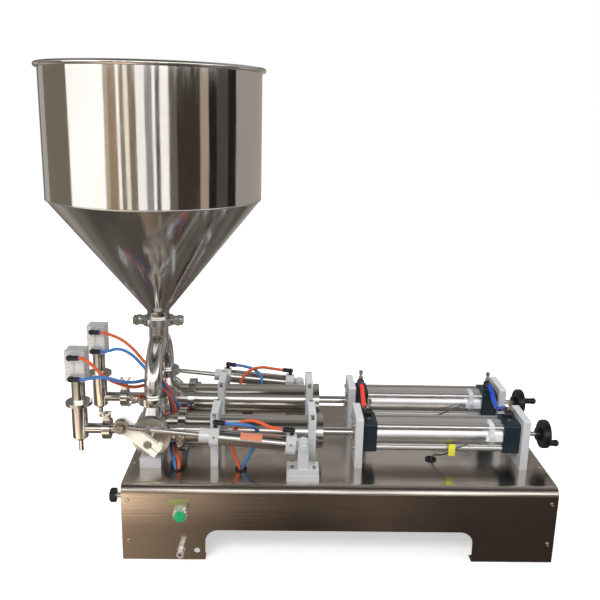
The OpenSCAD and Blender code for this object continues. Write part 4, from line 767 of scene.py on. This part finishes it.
# Bare label plate above the button and bare sticker on the front actuator
LABEL_X, LABEL_Z, LABEL_T, LABEL_EDGE = (-392, -351), (138, 156), 0.7, 0.3
STICKER_R, STICKER_L, STICKER_T, STICKER_S = 18.05, 50, 0.12, 121
STICKER_SPAN = (-20, 42)
STICKER_FACES = Vector((0, -1, 0.75))
label = block("label_plate", at(LABEL_X[0], -BASE_W / 2 - LABEL_T, LABEL_Z[0]),
              at(LABEL_X[1], -BASE_W / 2, LABEL_Z[1]), LABEL_EDGE)
dress(label, label_green, "machine")
start_fresh()
bpy.ops.mesh.primitive_cylinder_add(vertices=96, radius=STICKER_R * MM, depth=STICKER_L * MM,
                                    end_fill_type="NOTHING")
sticker = bpy.context.object
sticker.name = "actuator_sticker"
bpy.ops.object.mode_set(mode="EDIT")
bpy.ops.mesh.select_mode(type="FACE")
bpy.ops.mesh.select_all(action="DESELECT")
bpy.ops.object.mode_set(mode="OBJECT")
for face in sticker.data.polygons:
    turn = math.degrees(math.atan2(face.center.y, face.center.x))
    face.select = not STICKER_SPAN[0] < turn < STICKER_SPAN[1]
bpy.ops.object.mode_set(mode="EDIT")
bpy.ops.mesh.delete(type="FACE")
bpy.ops.object.mode_set(mode="OBJECT")
apply_modifier(sticker, "SOLIDIFY", thickness=STICKER_T * MM, offset=1)
outward = (STICKER_FACES - ACT_AXIS * STICKER_FACES.dot(ACT_AXIS)).normalized()
sticker_turn = Matrix((outward, ACT_AXIS.cross(outward), ACT_AXIS)).transposed().to_4x4()
sticker.matrix_world = Matrix.Translation(on_outer(HEADS["front"], *on_actuator(STICKER_S, 0))) @ sticker_turn
dress(settle(sticker), sticker_orange, "front_actuator")

# Clear strap that holds each sensor to its tube: from the tube's top over a rib and round the sensor
RIB_R, RIB_IN = 8.5, 3
RIB = END_CAP_HALF - RIB_R - RIB_IN
STRAP_X, STRAP_W, STRAP_T, STRAP_TOP, STRAP_BEND, STRAP_GAP = 366, 12, 0.5, 36.1, 8.9, 0.3
rib_top = RIB + RIB_R + STRAP_GAP
rib_turns = [math.radians(a) for a in (15, 30, 45, 60, 75)]
strap_line = [
    (0.6, STRAP_TOP), (-RIB / 2, (STRAP_TOP + rib_top) / 2), (-RIB, rib_top),
    *((-RIB - STRAP_BEND * math.sin(a), RIB + STRAP_BEND * math.cos(a)) for a in rib_turns),
    (-36.4, 22), (-38.5, 15), (-44.9, 10.4), (-44.9, -2.4), (-38.5, -8), (-35.9, -14)]
for head, side in HEADS.items():
    path = [on_head(side, STRAP_X, y, z) for y, z in strap_line]
    strap = strip(f"{head}_sensor_strap", path, STRAP_W, STRAP_T)
    dress(strap, strap_clear, "machine")


# Studio: pale floor, soft lamps, and a room that only the metal's reflections see


def lamp(name, place, aim, size, power):
    data = bpy.data.lights.new(name, "AREA")
    data.shape = "RECTANGLE"
    data.size, data.size_y = size
    data.energy = power
    light = bpy.data.objects.new(name, data)
    bpy.context.scene.collection.objects.link(light)
    light.location = place
    light.rotation_euler = (Vector(aim) - Vector(place)).to_track_quat("-Z", "Y").to_euler()
    light.visible_glossy = False


lamp("front_softbox", place=(-1.2, -2.6, 2.6), aim=(0, 0, 0.4), size=(2.0, 1.2), power=66)
lamp("top_softbox", place=(0.2, 0.2, 3.2), aim=(0, 0, 0.3), size=(2.4, 2.4), power=45)


def glow(name):
    """A material that only shines, its node tree and its shader."""
    material = bpy.data.materials.new(name)
    material.use_nodes = True
    tree = material.node_tree
    tree.nodes.remove(tree.nodes["Principled BSDF"])
    emission = tree.nodes.new("ShaderNodeEmission")
    tree.links.new(emission.outputs["Emission"], tree.nodes["Material Output"].inputs["Surface"])
    return material, tree, emission


def only_reflected(thing):
    thing.visible_camera = False
    thing.visible_diffuse = False
    thing.visible_transmission = False
    thing.visible_shadow = False


def ramp(tree, value, stops, how="LINEAR"):
    """A colour ramp through (position, colour) stops."""
    node = tree.nodes.new("ShaderNodeValToRGB")
    node.color_ramp.interpolation = how
    elements = node.color_ramp.elements
    elements[0].position, elements[1].position = 0, 1
    elements[0].color, elements[1].color = (*stops[0][1], 1), (*stops[-1][1], 1)
    for position, colour in stops[1:-1]:
        elements.new(position).color = (*colour, 1)
    tree.links.new(value, node.inputs["Fac"])
    return node.outputs["Color"]


def share(tree, value, span):
    """How far a value is along a span, from 0 to 1."""
    return to_range(tree, value, 0, 1, *span)


def way_round(tree, axes):
    """The share of the way round the studio, from 0 behind the machine through 0.5 at its front."""
    angle = math_node(tree, "ARCTAN2", axes["X"], math_node(tree, "MULTIPLY", axes["Y"], -1))
    return share(tree, angle, (-math.pi, math.pi))


# Cards and flags round the studio at table height, each from its angle on, as the hopper mirrors them
CARDS = [
    (-180, (0.5, 0.48, 0.45)), (-160, (0.2, 0.18, 0.15)), (-138, (0.45, 0.43, 0.4)),
    (-122, (0.21, 0.18, 0.14)), (-82, (1.4, 1.4, 1.38)), (-43, (0.55, 0.48, 0.35)),
    (-38, (0.38, 0.27, 0.18)), (-30, (1.35, 1.3, 1.2)), (-27, (0.30, 0.25, 0.19)),
    (-23, (1.1, 1.0, 0.85)), (-19, (0.27, 0.21, 0.15)), (-12, (1.2, 1.17, 1.12)),
    (-4, (0.34, 0.33, 0.34)), (3, (1.3, 1.3, 1.3)), (7, (0.1, 0.1, 0.1)), (11, (1.25, 1.22, 1.15)),
    (19, (0.16, 0.14, 0.12)), (27, (0.05, 0.04, 0.03)), (53, (0.45, 0.36, 0.29)),
    (62, (0.015, 0.015, 0.012)), (72, (0.08, 0.075, 0.065)), (88, (0.02, 0.016, 0.013)),
    (101, (0.4, 0.36, 0.33)),
]
card_stops = [((start + 180) / 360, colour) for start, colour in CARDS]
# Above them, by the share of the way round: bright windows behind the camera and dark walls elsewhere
DARK_WALL, WINDOWS = (0.19, 0.175, 0.155), (2.2, 2.2, 2.15)
UPPER_WALL = [
    (0.0, DARK_WALL), (0.14, DARK_WALL), (0.26, (0.6, 0.58, 0.55)), (0.34, WINDOWS),
    (0.68, WINDOWS), (0.76, (0.5, 0.48, 0.45)), (0.86, DARK_WALL), (1.0, DARK_WALL)]
# A strip over the walls, lit at the right, then the high walls, and the ceiling from front to back
DIM_STRIP, LIT_STRIP = (0.13, 0.12, 0.11), (0.5, 0.49, 0.48)
HIGH_FRONT, HIGH_BACK = (0.23, 0.22, 0.205), (0.34, 0.325, 0.305)
CEILING_FRONT = (0.05, 0.047, 0.043)
CEILING = [(0.0, CEILING_FRONT), (0.36, CEILING_FRONT), (0.42, (0.19, 0.18, 0.165)),
           (0.6, (0.22, 0.21, 0.195)), (0.75, HIGH_BACK), (1.0, HIGH_BACK)]
ROOM_R, ROOM_H, ROOM_MIDDLE = 5, 8, 3.2
# Heights over which each layer gives way to the next, and spans over which a layer changes
CARD_TOP, WINDOW_TOP, STRIP_TOP, WALL_TOP = (1.4, 1.55), (2.86, 2.98), (3.6, 4.6), (7.15, 7.19)
STRIP_SPAN, HIGH_SPAN = (-0.9, 0.5), (-1, 1)
start_fresh()
bpy.ops.mesh.primitive_cylinder_add(vertices=128, radius=ROOM_R, depth=ROOM_H, end_fill_type="NGON",
                                    location=(0, 0, ROOM_MIDDLE))
room = settle(bpy.context.object)
room.name = "studio_walls"
room_material, room_tree, room_glow = glow("studio_wall_light")
room_axes = object_axes(room_tree)
room_round = way_round(room_tree, room_axes)
cards = ramp(room_tree, room_round, [*card_stops, (1, card_stops[-1][1])], "CONSTANT")
upper = ramp(room_tree, room_round, UPPER_WALL)
walls = mixed(room_tree, share(room_tree, room_axes["Z"], CARD_TOP), cards, upper)
wall_strip = mixed(room_tree, share(room_tree, room_axes["X"], STRIP_SPAN), DIM_STRIP, LIT_STRIP)
high_walls = mixed(room_tree, share(room_tree, room_axes["Y"], HIGH_SPAN), HIGH_FRONT, HIGH_BACK)
ceiling = ramp(room_tree, share(room_tree, room_axes["Y"], (-ROOM_R, ROOM_R)), CEILING)
roof = mixed(room_tree, share(room_tree, room_axes["Z"], WALL_TOP), high_walls, ceiling)
above = mixed(room_tree, share(room_tree, room_axes["Z"], STRIP_TOP), wall_strip, roof)
room_colour = mixed(room_tree, share(room_tree, room_axes["Z"], WINDOW_TOP), walls, above)
room_tree.links.new(room_colour, room_glow.inputs["Color"])
room.data.materials.append(room_material)
only_reflected(room)

# The bench that polished metal sees below: wood in the machine's shade, with a lit stretch before it,
# both brightest at the left
BENCH_SHADE = [
    (0.0, (1.2, 0.96, 0.74)), (0.12, (1.2, 0.96, 0.74)), (0.18, (0.54, 0.41, 0.30)),
    (0.23, (0.36, 0.27, 0.20)), (0.30, (0.25, 0.19, 0.14)), (0.41, (0.09, 0.066, 0.051)),
    (0.5, (0.05, 0.037, 0.03)), (0.62, (0.095, 0.072, 0.059)), (0.75, (0.05, 0.039, 0.033)),
    (1.0, (0.04, 0.032, 0.027))]
BENCH_LIT = [
    (0.0, (2.3, 1.75, 1.25)), (0.165, (2.3, 1.75, 1.25)), (0.21, (1.35, 1.03, 0.74)),
    (0.285, (0.60, 0.47, 0.34)), (0.39, (0.24, 0.18, 0.14)), (0.5, (0.12, 0.093, 0.07)),
    (0.63, (0.14, 0.105, 0.08)), (0.77, (0.07, 0.053, 0.04)), (1.0, (0.05, 0.04, 0.03))]
BENCH_SIZE, BENCH_Z = 10, -0.001
BENCH_SPAN, LIT_SPAN = (-0.8, 0.8), (-0.75, -0.35)
LIT_STRETCH = [(0.0, (0, 0, 0)), (0.3, (0, 0, 0)), (0.5, (1, 1, 1)), (0.63, (1, 1, 1)), (0.83, (0, 0, 0)),
               (1.0, (0, 0, 0))]
# Behind that it is cluttered, and to the left of the base the clutter begins nearer to the front
CLUTTER_DARK, CLUTTER_LIGHT, CLUTTER_SCALE = (0.07, 0.063, 0.055), (0.26, 0.24, 0.215), 1.6
CLUTTER_FROM, LEFT_SPAN, LEFT_LEAD = (-0.24, -0.2), (-0.5, -0.42), 0.12
# Further off it is in bands of light and shade, each by the share of the way round
FAR_LIGHT, FAR_SHADE, FAR_BANDS, FAR_FROM = (0.46, 0.43, 0.39), (0.13, 0.12, 0.105), 12, (1.1, 1.6)
FAR_BENCH = [(k / FAR_BANDS, FAR_SHADE if k % 2 else FAR_LIGHT) for k in range(FAR_BANDS + 1)]
start_fresh()
bpy.ops.mesh.primitive_plane_add(size=BENCH_SIZE, location=(0, 0, BENCH_Z))
bench = settle(bpy.context.object)
bench.name = "bench"
bench_material, bench_tree, bench_glow = glow("bench_light")
bench_axes = object_axes(bench_tree)
across = share(bench_tree, bench_axes["X"], BENCH_SPAN)
stretch = ramp(bench_tree, share(bench_tree, bench_axes["Y"], LIT_SPAN), LIT_STRETCH)
near = mixed(bench_tree, stretch, ramp(bench_tree, across, BENCH_SHADE), ramp(bench_tree, across, BENCH_LIT))
lead = to_range(bench_tree, bench_axes["X"], LEFT_LEAD, 0, *LEFT_SPAN)
behind = share(bench_tree, math_node(bench_tree, "ADD", bench_axes["Y"], lead), CLUTTER_FROM)
patches = noise(bench_tree, surface_place(bench_tree), CLUTTER_SCALE, detail=1.0)
clutter = two_tone(bench_tree, patches, CLUTTER_DARK, CLUTTER_LIGHT)
far = share(bench_tree, vector_node(bench_tree, "LENGTH", surface_place(bench_tree)), FAR_FROM)
bands = ramp(bench_tree, way_round(bench_tree, bench_axes), FAR_BENCH)
bench_colour = mixed(bench_tree, far, mixed(bench_tree, behind, near, clutter), bands)
bench_tree.links.new(bench_colour, bench_glow.inputs["Color"])
bench.data.materials.append(bench_material)
only_reflected(bench)


def seen_directly(tree):
    """1 where the eye sees a thing, straight or in gloss or through glass; 0 where it only lights others."""
    ray = tree.nodes.new("ShaderNodeLightPath").outputs
    return math_node(tree, "MAXIMUM", math_node(tree, "MAXIMUM", ray["Is Camera Ray"], ray["Is Glossy Ray"]),
                     ray["Is Transmission Ray"])


SKY_LIGHT, FLOOR_GLOW = 0.55, 0.5
FLOOR_SIZE, FLOOR_Z, FLOOR_TONE = 60, -0.002, 0.92
world = bpy.data.worlds.new("studio")
world.use_nodes = True
bpy.context.scene.world = world
sky_tree = world.node_tree
sky = sky_tree.nodes["Background"]
sky.inputs["Color"].default_value = (1, 1, 1, 1)
sky_tree.links.new(to_range(sky_tree, seen_directly(sky_tree), SKY_LIGHT, 1.0, 0, 1), sky.inputs["Strength"])

# The floor is white to the eye, and keeps the machine's shadow
start_fresh()
bpy.ops.mesh.primitive_plane_add(size=FLOOR_SIZE, location=(0, 0, FLOOR_Z))
floor = settle(bpy.context.object)
floor.name = "floor"
floor_material, floor_tree, floor_shader = new_material("floor_white")
floor_shader.inputs["Base Color"].default_value = (FLOOR_TONE, FLOOR_TONE, FLOOR_TONE, 1)
floor_shader.inputs["Roughness"].default_value = 0.9
floor_shader.inputs["Specular IOR Level"].default_value = 0
floor_shader.inputs["Emission Color"].default_value = (1, 1, 1, 1)
floor_tree.links.new(math_node(floor_tree, "MULTIPLY", seen_directly(floor_tree), FLOOR_GLOW),
                     floor_shader.inputs["Emission Strength"])
floor.data.materials.append(floor_material)

bpy.context.scene.view_settings.view_transform = "Standard"
